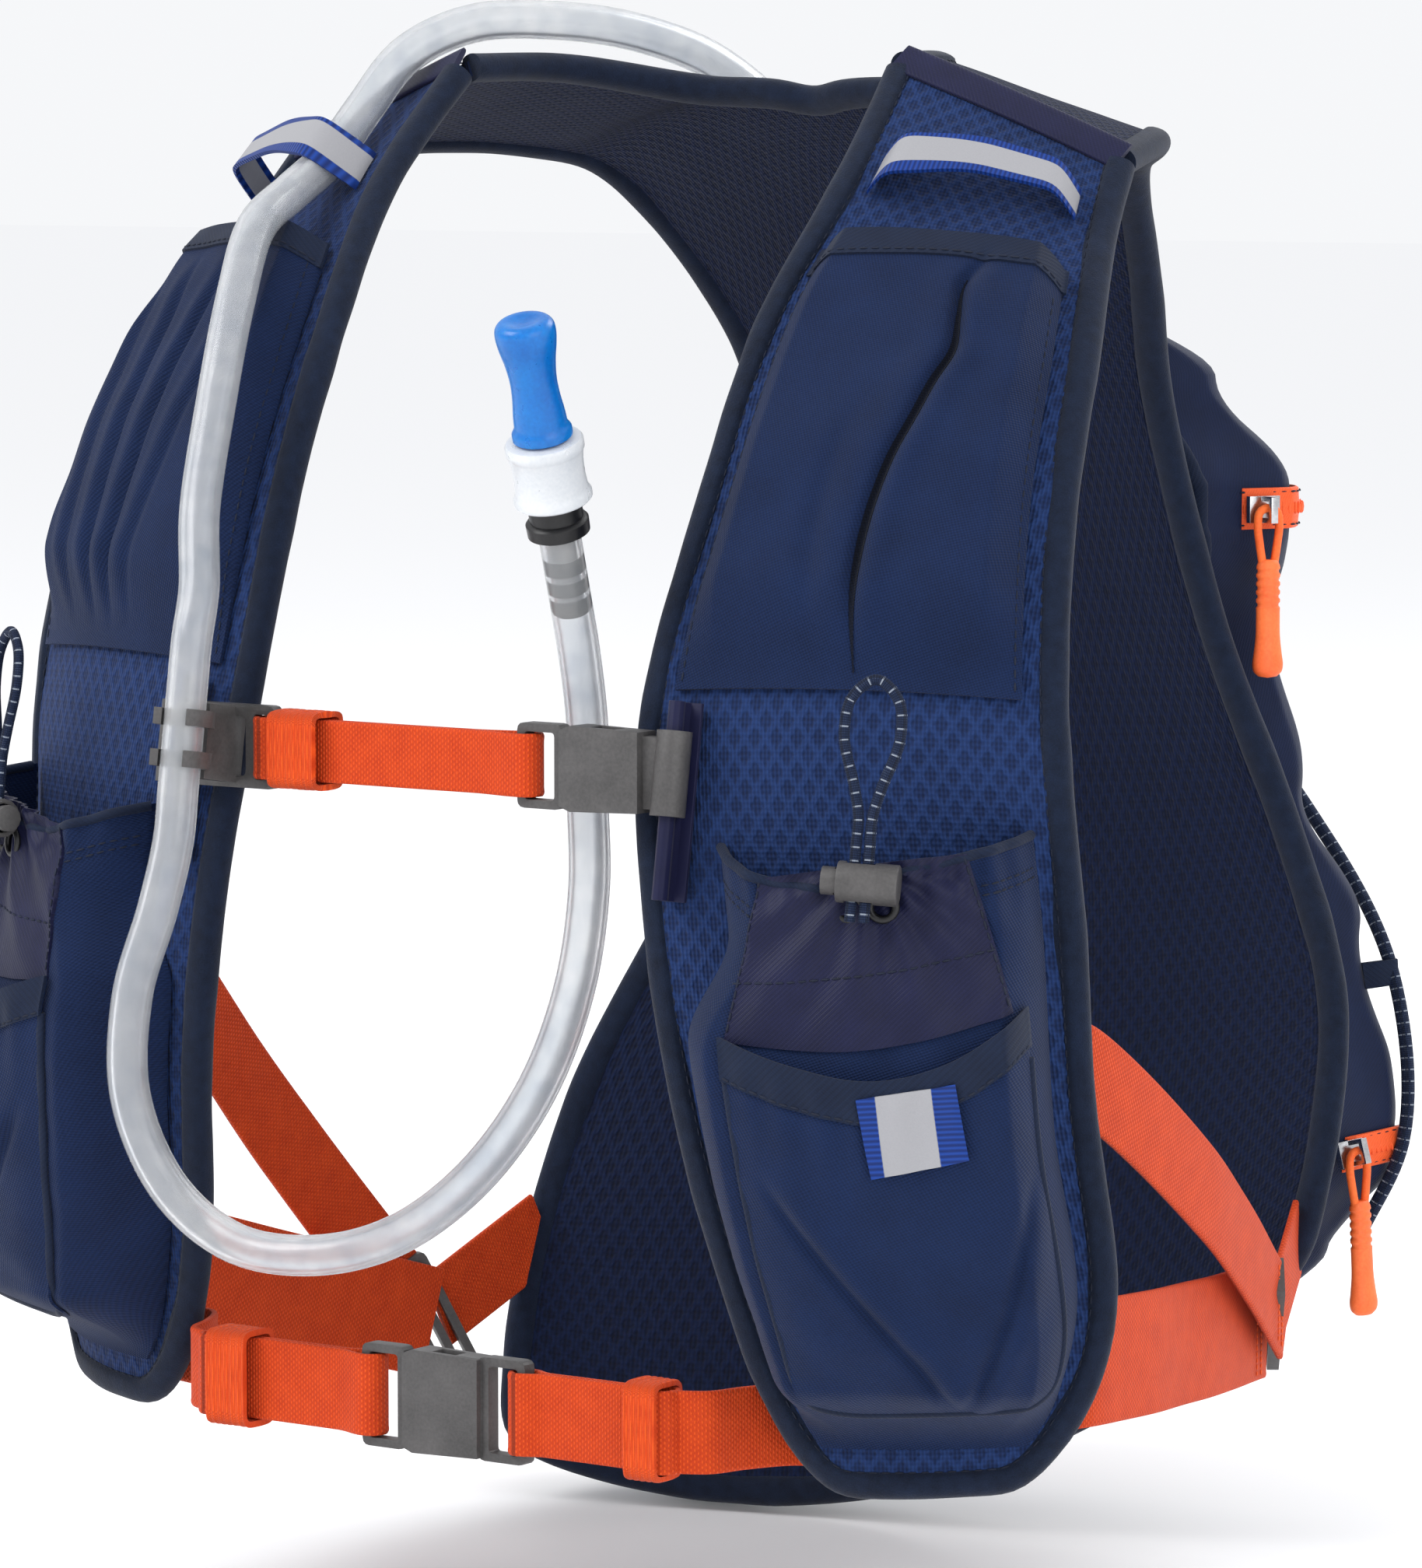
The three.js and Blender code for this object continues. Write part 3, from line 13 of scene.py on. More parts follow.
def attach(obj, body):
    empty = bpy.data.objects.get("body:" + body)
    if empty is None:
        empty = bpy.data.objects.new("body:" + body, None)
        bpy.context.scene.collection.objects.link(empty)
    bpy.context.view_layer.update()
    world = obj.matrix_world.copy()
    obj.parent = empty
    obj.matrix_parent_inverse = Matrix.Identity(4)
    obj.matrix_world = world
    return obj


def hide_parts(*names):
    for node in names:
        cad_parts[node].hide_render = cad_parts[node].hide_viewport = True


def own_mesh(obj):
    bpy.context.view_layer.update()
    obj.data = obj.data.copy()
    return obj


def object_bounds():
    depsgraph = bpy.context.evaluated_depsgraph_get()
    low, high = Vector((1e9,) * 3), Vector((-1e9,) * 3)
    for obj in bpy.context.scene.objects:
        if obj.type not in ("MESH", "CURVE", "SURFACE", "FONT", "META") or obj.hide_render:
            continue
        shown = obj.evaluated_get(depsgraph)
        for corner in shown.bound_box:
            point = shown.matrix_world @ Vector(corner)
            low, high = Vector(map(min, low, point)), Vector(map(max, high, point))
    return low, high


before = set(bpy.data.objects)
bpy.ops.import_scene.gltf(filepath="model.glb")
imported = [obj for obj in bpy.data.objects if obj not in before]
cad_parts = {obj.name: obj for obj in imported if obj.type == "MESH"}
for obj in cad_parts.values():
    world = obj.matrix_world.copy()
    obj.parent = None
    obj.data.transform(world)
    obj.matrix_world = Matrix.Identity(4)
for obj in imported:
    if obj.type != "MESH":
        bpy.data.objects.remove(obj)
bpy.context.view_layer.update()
MM = 0.001

# ------------------------------------------------------------------ camera
AIM = np.array([0, 15, -184.0])
TURN, RISE = math.radians(35), math.radians(5.5)
AWAY = np.array([math.sin(TURN) * math.cos(RISE), -math.cos(TURN) * math.cos(RISE), math.sin(RISE)])
camera_data = bpy.data.cameras.new("camera")
camera_data.lens = 163.93
camera_data.sensor_width = 36
camera_data.clip_start = 0.05
camera = bpy.data.objects.new("camera", camera_data)
bpy.context.collection.objects.link(camera)
camera.location = Vector((AIM + 1800 * AWAY) * MM)
camera.rotation_euler = Vector(-AWAY).to_track_quat("-Z", "Y").to_euler()
bpy.context.scene.camera = camera
bpy.context.scene.view_settings.view_transform = "Standard"


# ------------------------------------------------------------------ numbers
def unit(a):
    return a / np.maximum(np.linalg.norm(a, axis=-1, keepdims=True), 1e-12)


def ease(a, b, x):
    t = np.clip((np.asarray(x, float) - a) / (b - a), 0, 1)
    return t * t * (3 - 2 * t)


def mix(a, b, t):
    return a + (b - a) * t


def bump(x, middle, half):
    """A smooth hump of height 1 and half width half."""
    return ease(1, 0, np.abs(np.asarray(x, float) - middle) / half)


def spline(p, x):
    """The smooth line through a row of knots with a spare one at each end, x steps along it."""
    i = np.minimum(x.astype(int), len(p) - 4)
    w = x - i if p.ndim == 1 else (x - i)[..., None]
    a, b, c, d = p[i], p[i + 1], p[i + 2], p[i + 3]
    return b + w * (c - a) / 2 + w * w * (a - 2.5 * b + 2 * c - d / 2) + w ** 3 * (1.5 * (b - c) + (d - a) / 2)


def through(points, t):
    """A smooth line through points; t runs 0 to 1 in equal shares per point."""
    p = np.asarray(points, float)
    p = np.concatenate([[2 * p[0] - p[1]], p, [2 * p[-1] - p[-2]]])
    return spline(p, np.clip(np.asarray(t, float), 0, 1) * (len(p) - 3))


def run_of(points):
    return np.concatenate([[0], np.cumsum(np.linalg.norm(np.diff(points, axis=0), axis=1))])


def evenly(points, step=None, count=None):
    """Points re-spaced evenly along a polyline."""
    points = np.asarray(points, float)
    run = run_of(points)
    n = count or max(int(round(run[-1] / step)), 2)
    at = np.linspace(0, run[-1], n + 1)
    return np.stack([np.interp(at, run, points[:, k]) for k in range(points.shape[1])], -1)


def softened(points, times):
    """A polyline with its corners rounded by repeated averaging, ends kept."""
    p = np.array(points, float)
    for _ in range(times):
        p[1:-1] = (p[:-2] + 2 * p[1:-1] + p[2:]) / 4
    return p


LATTICE = np.random.RandomState(7).uniform(-1, 1, (24, 24, 24))


def ripple(p, size, shift=0.0):
    """Smooth noise from -1 to 1 at points p, with hills about size mm across."""
    q = np.asarray(p, float) / size + shift
    i = np.floor(q).astype(int)
    w = q - i
    w = w * w * (3 - 2 * w)
    out = 0
    for dx in (0, 1):
        for dy in (0, 1):
            for dz in (0, 1):
                k = LATTICE[(i[..., 0] + dx) % 24, (i[..., 1] + dy) % 24, (i[..., 2] + dz) % 24]
                out = out + k * (w[..., 0] if dx else 1 - w[..., 0]) * (w[..., 1] if dy else 1 - w[..., 1]) \
                    * (w[..., 2] if dz else 1 - w[..., 2])
    return out


def hills(x, y, z, size):
    """Ripple at a place given as separate numbers or arrays."""
    return ripple(np.stack(np.broadcast_arrays(x, y, z), -1), size)


# ------------------------------------------------------------------ the vest's surfaces
FRONT_INNER = [(64, 0, -1), (67, -30, -31), (62, -56, -64), (60, -77, -105), (57, -97, -156),
               (63, -104, -203), (70, -102, -248), (78, -92, -293), (92, -83, -340)]
FRONT_OUTER = [(128, 8, -27), (133, -8, -46), (143, -31, -72), (150, -52, -110), (155, -62, -156),
               (159, -60, -203), (161, -58, -248), (163, -51, -293), (150, -54, -336)]
FRONT_CROWN = [1, 4, 10, 11, 8]
BACK_INNER = [(64, 0, -1), (55, 31, -1), (32, 54, -6), (0, 62, -10), (0, 93, -38), (0, 130, -90),
              (0, 150, -150), (0, 161, -210), (0, 158, -268), (0, 148, -328), (0, 138, -388)]
BACK_OUTER = [(128, 8, -27), (116, 44, -22), (100, 70, -23), (84, 89, -31), (72, 115, -60), (66, 131, -92),
              (74, 146, -150), (94, 155, -208), (120, 140, -262), (128, 127, -308), (126, 118, -347)]
NECK = 0.3                      # share of the back's edge that is neck
TOUCH = 1e-9
HANG_FROM, HANG_TO = -110, -380
HANG_YAW, HANG_ROLL = math.radians(7), math.radians(17)
HANG_SHIFT, HANG_PIVOT = 16, 140
SEAM_GAP = 3.4                  # from the shoulder seam to a panel
PANEL_IN, BAND_IN = 6, 4        # from an edge to the mesh, and to its band's middle line
PANEL_THICK = 4
SIDES = ((1, "left"), (-1, "right"))


def crown(v):
    knots = np.array([FRONT_CROWN[0], *FRONT_CROWN, FRONT_CROWN[-1]], float)
    return spline(knots, np.clip(v, 0, 1) * (len(FRONT_CROWN) - 1))


def front_base(u, v):
    inner, outer = through(FRONT_INNER, v), through(FRONT_OUTER, v)
    down = through(FRONT_INNER, np.minimum(v + 0.01, 1)) - through(FRONT_INNER, np.maximum(v - 0.01, 0))
    outward = unit(np.cross(down, outer - inner))
    return inner + (outer - inner) * ((u + 1) / 2)[..., None] + outward * (crown(v) * (1 - u * u))[..., None]


def front(u, v, height=0.0):
    """A point on the left front panel, raised by a height; u -1 to 1 inner to outer, v 0 to 1 downwards."""
    u, v, height = np.broadcast_arrays(*(np.asarray(x, float) for x in (u, v, height)))
    e = 0.02
    across = front_base(u + e, v) - front_base(u - e, v)
    down = front_base(u, np.minimum(v + e, 1)) - front_base(u, np.maximum(v - e, 0))
    return front_base(u, v) + unit(np.cross(down, across)) * height[..., None]


FRONT_LENGTH = float(run_of(through(FRONT_INNER, np.linspace(0, 1, 400)))[-1])
BACK_LENGTH = float(run_of(through(BACK_OUTER, np.linspace(0, 1, 400)))[-1])


def front_width(v):
    return np.linalg.norm(through(FRONT_OUTER, v) - through(FRONT_INNER, v), axis=-1)


def edge_u(v, inset):
    v = np.asarray(v, float)
    return np.where(v < 0.93, 1.0, 1 - 0.28 * ((v - 0.93) / 0.07) ** 2) - 2 * inset / front_width(v)


def hang(p):
    """The turn and shift that the lower back hangs with."""
    p = np.asarray(p, float)
    g = 1 - ease(HANG_TO, HANG_FROM, p[..., 2])
    yaw, roll = HANG_YAW * g, HANG_ROLL * g
    y = p[..., 1] - HANG_PIVOT
    x = p[..., 0] * np.cos(yaw) - y * np.sin(yaw)
    y2 = p[..., 0] * np.sin(yaw) + y * np.cos(yaw)
    return np.stack([x * np.cos(roll) - HANG_SHIFT * g, y2 + HANG_PIVOT, p[..., 2] + x * np.sin(roll)], -1)


def back_middle(v):
    inner = through(BACK_INNER, v)
    inner[..., 0] = np.where(v >= NECK - TOUCH, 0, inner[..., 0])
    return inner


def back_base(u, v):
    inner, outer = back_middle(v), through(BACK_OUTER, v)
    bent = np.where(u <= 0, 0, np.abs(u) ** mix(1, 2, ease(NECK - 0.12, NECK, v)))
    return np.stack([mix(inner[..., 0], outer[..., 0], u), mix(inner[..., 1], outer[..., 1], bent),
                     mix(inner[..., 2], outer[..., 2], bent)], -1)


def back(u, v, height=0.0):
    """A point on the left half of the back panel before it hangs; u 0 at the neck or middle, 1 outside."""
    u, v, height = np.broadcast_arrays(*(np.asarray(x, float) for x in (u, v, height)))
    e = 0.015
    u1 = np.maximum(u, e)
    across = back_base(u1 + e, v) - back_base(u1 - e, v)
    down = back_base(u1, np.minimum(v + e, 1)) - back_base(u1, np.maximum(v - e, 0))
    n = unit(np.cross(down, across))
    n = np.where(np.where(v > NECK, n[..., 1] < 0, n[..., 2] < 0)[..., None], -n, n)
    n[..., 0] = np.where((u < e) & (v >= NECK - TOUCH), 0, n[..., 0])
    return back_base(u, v) + unit(n) * height[..., None]


def back_outer_u(v, inset):
    v = np.asarray(v, float)
    return 1 - inset / np.linalg.norm(back_middle(v) - through(BACK_OUTER, v), axis=-1)


def sided(p, side):
    """Points of the left half moved to the given side: 1 left, -1 right."""
    return p * np.array([side, 1, 1])


# ------------------------------------------------------------------ meshes
def placed(name, mesh):
    piece = bpy.data.objects.new(name, mesh)
    bpy.context.collection.objects.link(piece)
    return piece


def edited(mesh, *steps):
    """A mesh changed in place by steps on its editable form."""
    bm = bmesh.new()
    bm.from_mesh(mesh)
    for step in steps:
        step(bm)
    bm.to_mesh(mesh)
    bm.free()


def plain_copy(piece):
    """The mesh of a piece with its modifiers applied, and the modifiers removed."""
    piece.data = bpy.data.meshes.new_from_object(piece.evaluated_get(bpy.context.evaluated_depsgraph_get()))
    piece.modifiers.clear()


def weld(bm):
    bmesh.ops.remove_doubles(bm, verts=bm.verts, dist=1e-6)


def face_outwards(bm):
    if bm.calc_volume(signed=True) < 0:
        bmesh.ops.reverse_faces(bm, faces=bm.faces)


def mesh_object(name, points, faces, uv=None, smooth=35):
    mesh = bpy.data.meshes.new(name)
    mesh.from_pydata([tuple(p) for p in np.asarray(points) * MM], [], faces)
    if uv is not None:
        layer = mesh.uv_layers.new(name="cloth")
        index = np.empty(len(mesh.loops), int)
        mesh.loops.foreach_get("vertex_index", index)
        layer.data.foreach_set("uv", np.asarray(uv, float)[index].ravel())
    mesh.validate()
    edited(mesh, face_outwards)
    mesh.shade_smooth()
    mesh.set_sharp_from_angle(angle=math.radians(smooth))
    return placed(name, mesh)


def grid_faces(rows, columns, start=0, wrap=False):
    j, i = np.meshgrid(np.arange(rows - 1), np.arange(columns if wrap else columns - 1), indexing="ij")
    k = (i + 1) % columns
    a, b = j * columns + i, j * columns + k
    return (np.stack([a, b, b + columns, a + columns], -1).reshape(-1, 4) + start).tolist()


def wall_faces(rows, sides):
    """Faces of a pipe whose inner points follow its outer ones, with both ends closed."""
    n, last = rows * sides, (rows - 1) * sides
    faces = grid_faces(rows, sides, wrap=True) + [f[::-1] for f in grid_faces(rows, sides, n, wrap=True)]
    for i in range(sides):
        k = (i + 1) % sides
        faces += [[k, i, i + n, k + n], [last + i, last + k, last + k + n, last + i + n]]
    return faces


def cloth(name, outer, inner, uv, smooth=50):
    """A closed piece of cloth between an outer and an inner grid of points."""
    rows, columns = outer.shape[:2]
    n = rows * columns
    faces = grid_faces(rows, columns) + [f[::-1] for f in grid_faces(rows, columns, n)]
    ring = [*range(columns), *range(2 * columns - 1, n, columns), *range(n - 2, n - columns - 1, -1),
            *range(n - 2 * columns, 0, -columns)]
    faces += [[b, a, a + n, b + n] for a, b in zip(ring, ring[1:] + ring[:1])]
    flat_uv = uv.reshape(-1, 2)
    return mesh_object(name, np.vstack([outer.reshape(-1, 3), inner.reshape(-1, 3)]), faces,
                       np.vstack([flat_uv, flat_uv]), smooth)


def swept(name, path, ups, section, closed=False, smooth=50):
    """A section of (side, up) offsets swept along a path, with flat ends or as a closed loop."""
    path, ups, section = np.asarray(path, float), unit(np.asarray(ups, float)), np.asarray(section, float)
    if closed:
        along = unit(np.roll(path, -1, 0) - np.roll(path, 1, 0))
    else:
        along = unit(np.gradient(path, axis=0))
    side = unit(np.cross(along, ups))
    ups = np.cross(side, along)
    per_row = section if section.ndim == 3 else np.broadcast_to(section, (len(path), *section.shape))
    ring = path[:, None] + side[:, None] * per_row[..., :1] + ups[:, None] * per_row[..., 1:2]
    rows, n = ring.shape[:2]
    if closed:
        faces = [[(j % rows) * n + i, (j % rows) * n + (i + 1) % n, ((j + 1) % rows) * n + (i + 1) % n,
                  ((j + 1) % rows) * n + i] for j in range(rows) for i in range(n)]
    else:
        faces = grid_faces(rows, n, wrap=True) + [list(range(n))[::-1], [(rows - 1) * n + i for i in range(n)]]
    run = run_of(path)
    around = np.concatenate([[0], np.cumsum(np.linalg.norm(np.diff(per_row[0], axis=0), axis=1))])
    uv = np.stack(np.meshgrid(around, run, indexing="xy"), -1).reshape(-1, 2)
    return mesh_object(name, ring.reshape(-1, 3), faces, uv, smooth)


def oval(width, thickness, count=20, power=2.0):
    a = np.arange(count) * 2 * np.pi / count
    c, s = np.cos(a), np.sin(a)
    return np.stack([np.sign(c) * np.abs(c) ** (2 / power) * width / 2,
                     np.sign(s) * np.abs(s) ** (2 / power) * thickness / 2], -1)


def tube(name, path, radius, sides=14, hollow=0.0):
    """A round cord along a path; with hollow it is a pipe of that wall."""
    path = np.asarray(path, float)
    along = unit(np.gradient(path, axis=0))
    up = np.cross(along[0], [0.3, 0.9, 0.2])
    ups = []
    for d in along:
        up = unit(up - d * np.dot(up, d))
        ups.append(up)
    if not hollow:
        return swept(name, path, ups, oval(2 * radius, 2 * radius, sides), smooth=60)
    side = unit(np.cross(along, ups))
    a = np.arange(sides) * 2 * np.pi / sides
    rings = [path[:, None] + r * (side[:, None] * np.cos(a)[None, :, None] + np.array(ups)[:, None]
             * np.sin(a)[None, :, None]) for r in (radius, radius - hollow)]
    return mesh_object(name, np.vstack([r.reshape(-1, 3) for r in rings]), wall_faces(len(path), sides), None, 60)


def turned(name, profile, origin, axis, sides=40, smooth=40):
    """A profile of (radius, height) turned about an axis, closed at both ends on the axis or as a ring."""
    axis = unit(np.asarray(axis, float))
    x = unit(np.cross(axis, [0.2, 1, 0.1]))
    y = np.cross(axis, x)
    a = np.arange(sides) * 2 * np.pi / sides
    rings = np.array([np.asarray(origin) + axis * h + r * (x * np.cos(a)[:, None] + y * np.sin(a)[:, None])
                      for r, h in profile])
    faces = grid_faces(len(profile), sides, wrap=True)
    if profile[0] == profile[-1]:
        rings = rings[:-1]
        count = len(rings)
        faces = [[f % (count * sides) for f in face] for face in faces]
    else:
        faces += [list(range(sides))[::-1], [(len(profile) - 1) * sides + i for i in range(sides)]]
    return mesh_object(name, rings.reshape(-1, 3), faces, None, smooth)


def finished(piece, material, body="vest", nodes=()):
    piece.data.materials.clear()
    piece.data.materials.append(material)
    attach(piece, body)
    if nodes:
        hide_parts(*nodes)
    return piece


def refined(node, name, material, body, bevel, segments=3):
    """A CAD piece copied, welded, its flat faces joined and its edges rounded."""
    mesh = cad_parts[node].data.copy()
    edited(mesh, weld, lambda bm: bmesh.ops.dissolve_limit(bm, angle_limit=math.radians(1.5), verts=bm.verts,
                                                           edges=bm.edges))
    piece = placed(name, mesh)
    edge = piece.modifiers.new("rounded", "BEVEL")
    edge.width = bevel * MM
    edge.segments = segments
    edge.limit_method = "ANGLE"
    edge.angle_limit = math.radians(32)
    edge.use_clamp_overlap = True
    plain_copy(piece)
    piece.data.name = name
    piece.data.shade_smooth()
    piece.data.set_sharp_from_angle(angle=math.radians(34))
    return finished(piece, material, body, [node])


# ------------------------------------------------------------------ materials
class Value:
    """A number or vector on a node socket, with arithmetic that adds nodes."""

    def __init__(self, tree, socket):
        self.tree, self.socket = tree, socket

    def _math(self, kind, *others):
        node = self.tree.nodes.new("ShaderNodeMath")
        node.operation = kind
        for slot, value in zip(node.inputs, (self, *others)):
            if isinstance(value, Value):
                self.tree.links.new(value.socket, slot)
            else:
                slot.default_value = value
        return Value(self.tree, node.outputs[0])

    def __add__(self, o): return self._math("ADD", o)
    def __sub__(self, o): return self._math("SUBTRACT", o)
    def __mul__(self, o): return self._math("MULTIPLY", o)
    def __truediv__(self, o): return self._math("DIVIDE", o)
    def sin(self): return self._math("SINE")
    def abs(self): return self._math("ABSOLUTE")
    def fract(self): return self._math("FRACT")
    def floor(self): return self._math("FLOOR")
    def max(self, o): return self._math("MAXIMUM", o)

    def wave(self, period):
        """A sine of the given period, from -1 to 1."""
        return (self * (2 * math.pi / period)).sin()

    def step(self, a, b):
        """0 below a, 1 above b, smooth between."""
        node = self.tree.nodes.new("ShaderNodeMapRange")
        node.interpolation_type = "SMOOTHSTEP"
        self.tree.links.new(self.socket, node.inputs[0])
        for slot, value in zip(list(node.inputs)[1:5], (a, b, 0.0, 1.0)):
            slot.default_value = value
        return Value(self.tree, node.outputs[0])


SHEEN_SHARE = 0.2
CLOTH_SPECULAR, HARD_SPECULAR = 0.16, 0.4


class Finish:
    """One procedural material: a Principled shader with colour, roughness and relief from nodes."""

    def __init__(self, name, roughness, sheen=0.0, **sockets):
        self.material = bpy.data.materials.new(name)
        self.material.use_nodes = True
        self.tree = self.material.node_tree
        self.shader = self.tree.nodes["Principled BSDF"]
        self.shader.inputs["Roughness"].default_value = roughness
        self.shader.inputs["Sheen Weight"].default_value = sheen * SHEEN_SHARE
        self.shader.inputs["Specular IOR Level"].default_value = CLOTH_SPECULAR if sheen else HARD_SPECULAR
        self.shader.inputs["Sheen Roughness"].default_value = 0.5
        for key, value in sockets.items():
            self.shader.inputs[key.replace("_", " ")].default_value = value
        coordinates = self.tree.nodes.new("ShaderNodeTexCoord")
        self.place = Value(self.tree, coordinates.outputs["Object"])
        split = self.tree.nodes.new("ShaderNodeSeparateXYZ")
        self.tree.links.new(coordinates.outputs["UV"], split.inputs[0])
        self.across, self.along = Value(self.tree, split.outputs[0]), Value(self.tree, split.outputs[1])

    def noise(self, size, detail=2.0, roughness=0.5):
        """Noise from 0 to 1 in the object's place, with hills about size mm across."""
        node = self.tree.nodes.new("ShaderNodeTexNoise")
        self.tree.links.new(self.place.socket, node.inputs["Vector"])
        node.inputs["Scale"].default_value = 1 / (size * MM)
        node.inputs["Detail"].default_value = detail
        node.inputs["Roughness"].default_value = roughness
        return Value(self.tree, node.outputs[0])

    def colour(self, share, *stops):
        """Colour from a ramp of sRGB hex stops, given as (place, hex)."""
        node = self.tree.nodes.new("ShaderNodeValToRGB")
        self.tree.links.new(share.socket, node.inputs[0])
        ramp = node.color_ramp
        while len(ramp.elements) < len(stops):
            ramp.elements.new(0.5)
        for element, (place, code) in zip(ramp.elements, stops):
            element.position = place
            element.color = linear(code)
        self.tree.links.new(node.outputs[0], self.shader.inputs["Base Color"])
        return self

    def rough(self, value):
        self.tree.links.new(value.socket, self.shader.inputs["Roughness"])
        return self

    def relief(self, height, depth=0.3, strength=1.0):
        """Relief of the given depth in mm from a height of 0 to 1."""
        node = self.tree.nodes.new("ShaderNodeBump")
        node.inputs["Distance"].default_value = depth * MM
        node.inputs["Strength"].default_value = strength
        self.tree.links.new(height.socket, node.inputs["Height"])
        self.tree.links.new(node.outputs[0], self.shader.inputs["Normal"])
        return self


def linear(code):
    rgb = [int(code[i:i + 2], 16) / 255 for i in (0, 2, 4)]
    return (*[c / 12.92 if c <= 0.04045 else ((c + 0.055) / 1.055) ** 2.4 for c in rgb], 1)


def knit(name, dark, light, pitch=1.0):
    """Fine stretch mesh: staggered holes between slanted yarns."""
    f = Finish(name, 0.8, 0.25)
    slant = (f.across + f.along * 0.5).wave(pitch)
    cross = (f.along - f.across * 0.35).wave(pitch * 0.9)
    weave = (slant * cross) * 0.5 + 0.5
    tone = weave * 0.42 + f.noise(14, 3) * 0.38 + f.noise(0.9, 2) * 0.2
    f.colour(tone, (0.15, dark), (0.8, light))
    return f.relief(weave + f.noise(0.7, 2) * 0.4, 0.22, 0.8).material


def ribbed(name, dark, light, pitch=1.35, sheen=0.2, row=None):
    """Woven webbing: offset rows of bars across the strap."""
    f = Finish(name, 0.62, sheen)
    row = row or pitch * 0.62
    shift = ((f.along / row).floor() * 0.5).fract() * pitch
    bar = (f.across + shift).wave(pitch) * 0.5 + 0.5
    line = f.along.wave(row) * 0.5 + 0.5
    weave = bar * line
    tone = weave * 0.5 + f.noise(6, 3) * 0.3 + f.noise(0.5, 1) * 0.2
    f.colour(tone, (0.12, dark), (0.75, light))
    return f.relief(weave + f.noise(0.5, 1) * 0.25, 0.3, 0.9).material


def diamond(name, dark, light, wide=5.2, high=7.6):
    """Warp-knit spacer mesh: upright ribs broken by darker diamonds."""
    f = Finish(name, 0.78, 0.2)
    a = (f.across / wide + f.along / high).fract() - 0.5
    b = (f.across / wide - f.along / high).fract() - 0.5
    diamonds = (a.abs().max(b.abs())).step(0.22, 0.42)
    ribs = f.across.wave(0.95) * 0.5 + 0.5
    knots = f.along.wave(1.25) * 0.5 + 0.5
    yarn = ribs * 0.65 + knots * 0.35
    tone = yarn * 0.34 + diamonds * 0.26 + f.noise(6, 3) * 0.28 + f.noise(0.6, 1) * 0.16
    f.colour(tone, (0.18, dark), (0.85, light))
    return f.relief(yarn * 0.6 + diamonds * 0.7, 0.5, 0.9).material


def suede(name, dark, light):
    """Brushed knit of the padded bindings."""
    f = Finish(name, 0.92, 0.55)
    fuzz = f.noise(0.35, 2, 0.7)
    tone = fuzz * 0.45 + f.noise(3.2, 3) * 0.4 + f.noise(28, 2) * 0.15
    f.colour(tone, (0.3, dark), (0.72, light))
    return f.relief(fuzz + f.noise(2.4, 2) * 0.8, 0.22, 0.7).material


def woven(name, dark, light, pitch=0.55, sheen=0.3, roughness=0.5):
    """Plain smooth weave with a faint diagonal."""
    f = Finish(name, roughness, sheen)
    weave = f.across.wave(pitch) * f.along.wave(pitch) * 0.5 + 0.5
    twill = (f.across + f.along).wave(pitch * 2.2) * 0.5 + 0.5
    tone = weave * 0.2 + twill * 0.15 + f.noise(9, 3) * 0.45 + f.noise(0.5, 1) * 0.2
    f.colour(tone, (0.2, dark), (0.75, light))
    return f.relief(weave * 0.5 + twill * 0.5 + f.noise(0.5, 1) * 0.3, 0.12, 0.6).material


def moulded(name, dark, light, roughness, grain=0.35, depth=0.05, **sockets):
    """Moulded plastic or rubber with a fine grain."""
    f = Finish(name, roughness, 0.0, **sockets)
    f.colour(f.noise(11, 3) * 0.6 + f.noise(0.8, 2) * 0.4, (0.3, dark), (0.7, light))
    f.rough(f.noise(4, 3) * 0.16 + (roughness - 0.08))
    return f.relief(f.noise(grain, 2), depth, 0.6).material


def flecked(name, dark, light, fleck, pitch):
    """Braided elastic cord with a light fleck at intervals."""
    f = Finish(name, 0.72, 0.15)
    braid = (f.across * 1.4 + f.along).wave(1.1) * (f.across * 1.4 - f.along).wave(1.1) * 0.5 + 0.5
    spot = ((f.along / pitch).fract() - 0.5).abs().step(0.07, 0.05)
    spot = spot * ((f.across / 2.7).fract() - 0.5).abs().step(0.33, 0.27)
    tone = (braid * 0.5 + f.noise(1.5, 2) * 0.3) * (spot * -1 + 1) + spot
    f.colour(tone, (0.2, dark), (0.62, light), (0.86, fleck))
    return f.relief(braid, 0.2, 0.8).material


def banded(name, edge, middle, width, edge_width):
    """A tape along its length: a reflective middle between ribbed edges."""
    f = Finish(name, 0.42, 0.1)
    inside = ((f.across - width / 2).abs()).step(width / 2 - edge_width + 0.15, width / 2 - edge_width - 0.15)
    ribs = f.along.wave(1.1) * 0.5 + 0.5
    grain = f.noise(0.4, 2)
    beside = inside * -1 + 1
    f.colour(inside * (grain * 0.1 + 0.88) + beside * (ribs * 0.3), (0.0, "10265f"), (0.34, edge), (0.62, "7c7c80"),
             (0.95, middle))
    return f.relief(beside * ribs + inside * grain * 0.25, 0.25, 0.8).material


def clear(name, tint, roughness, transmission):
    f = Finish(name, roughness, 0.0, Transmission_Weight=transmission, IOR=1.42)
    f.colour(f.noise(40, 2) * 0.5 + f.noise(6, 2) * 0.5, (0.3, tint), (0.7, "ffffff"))
    return f.relief(f.noise(14, 2), 0.03, 0.15).material


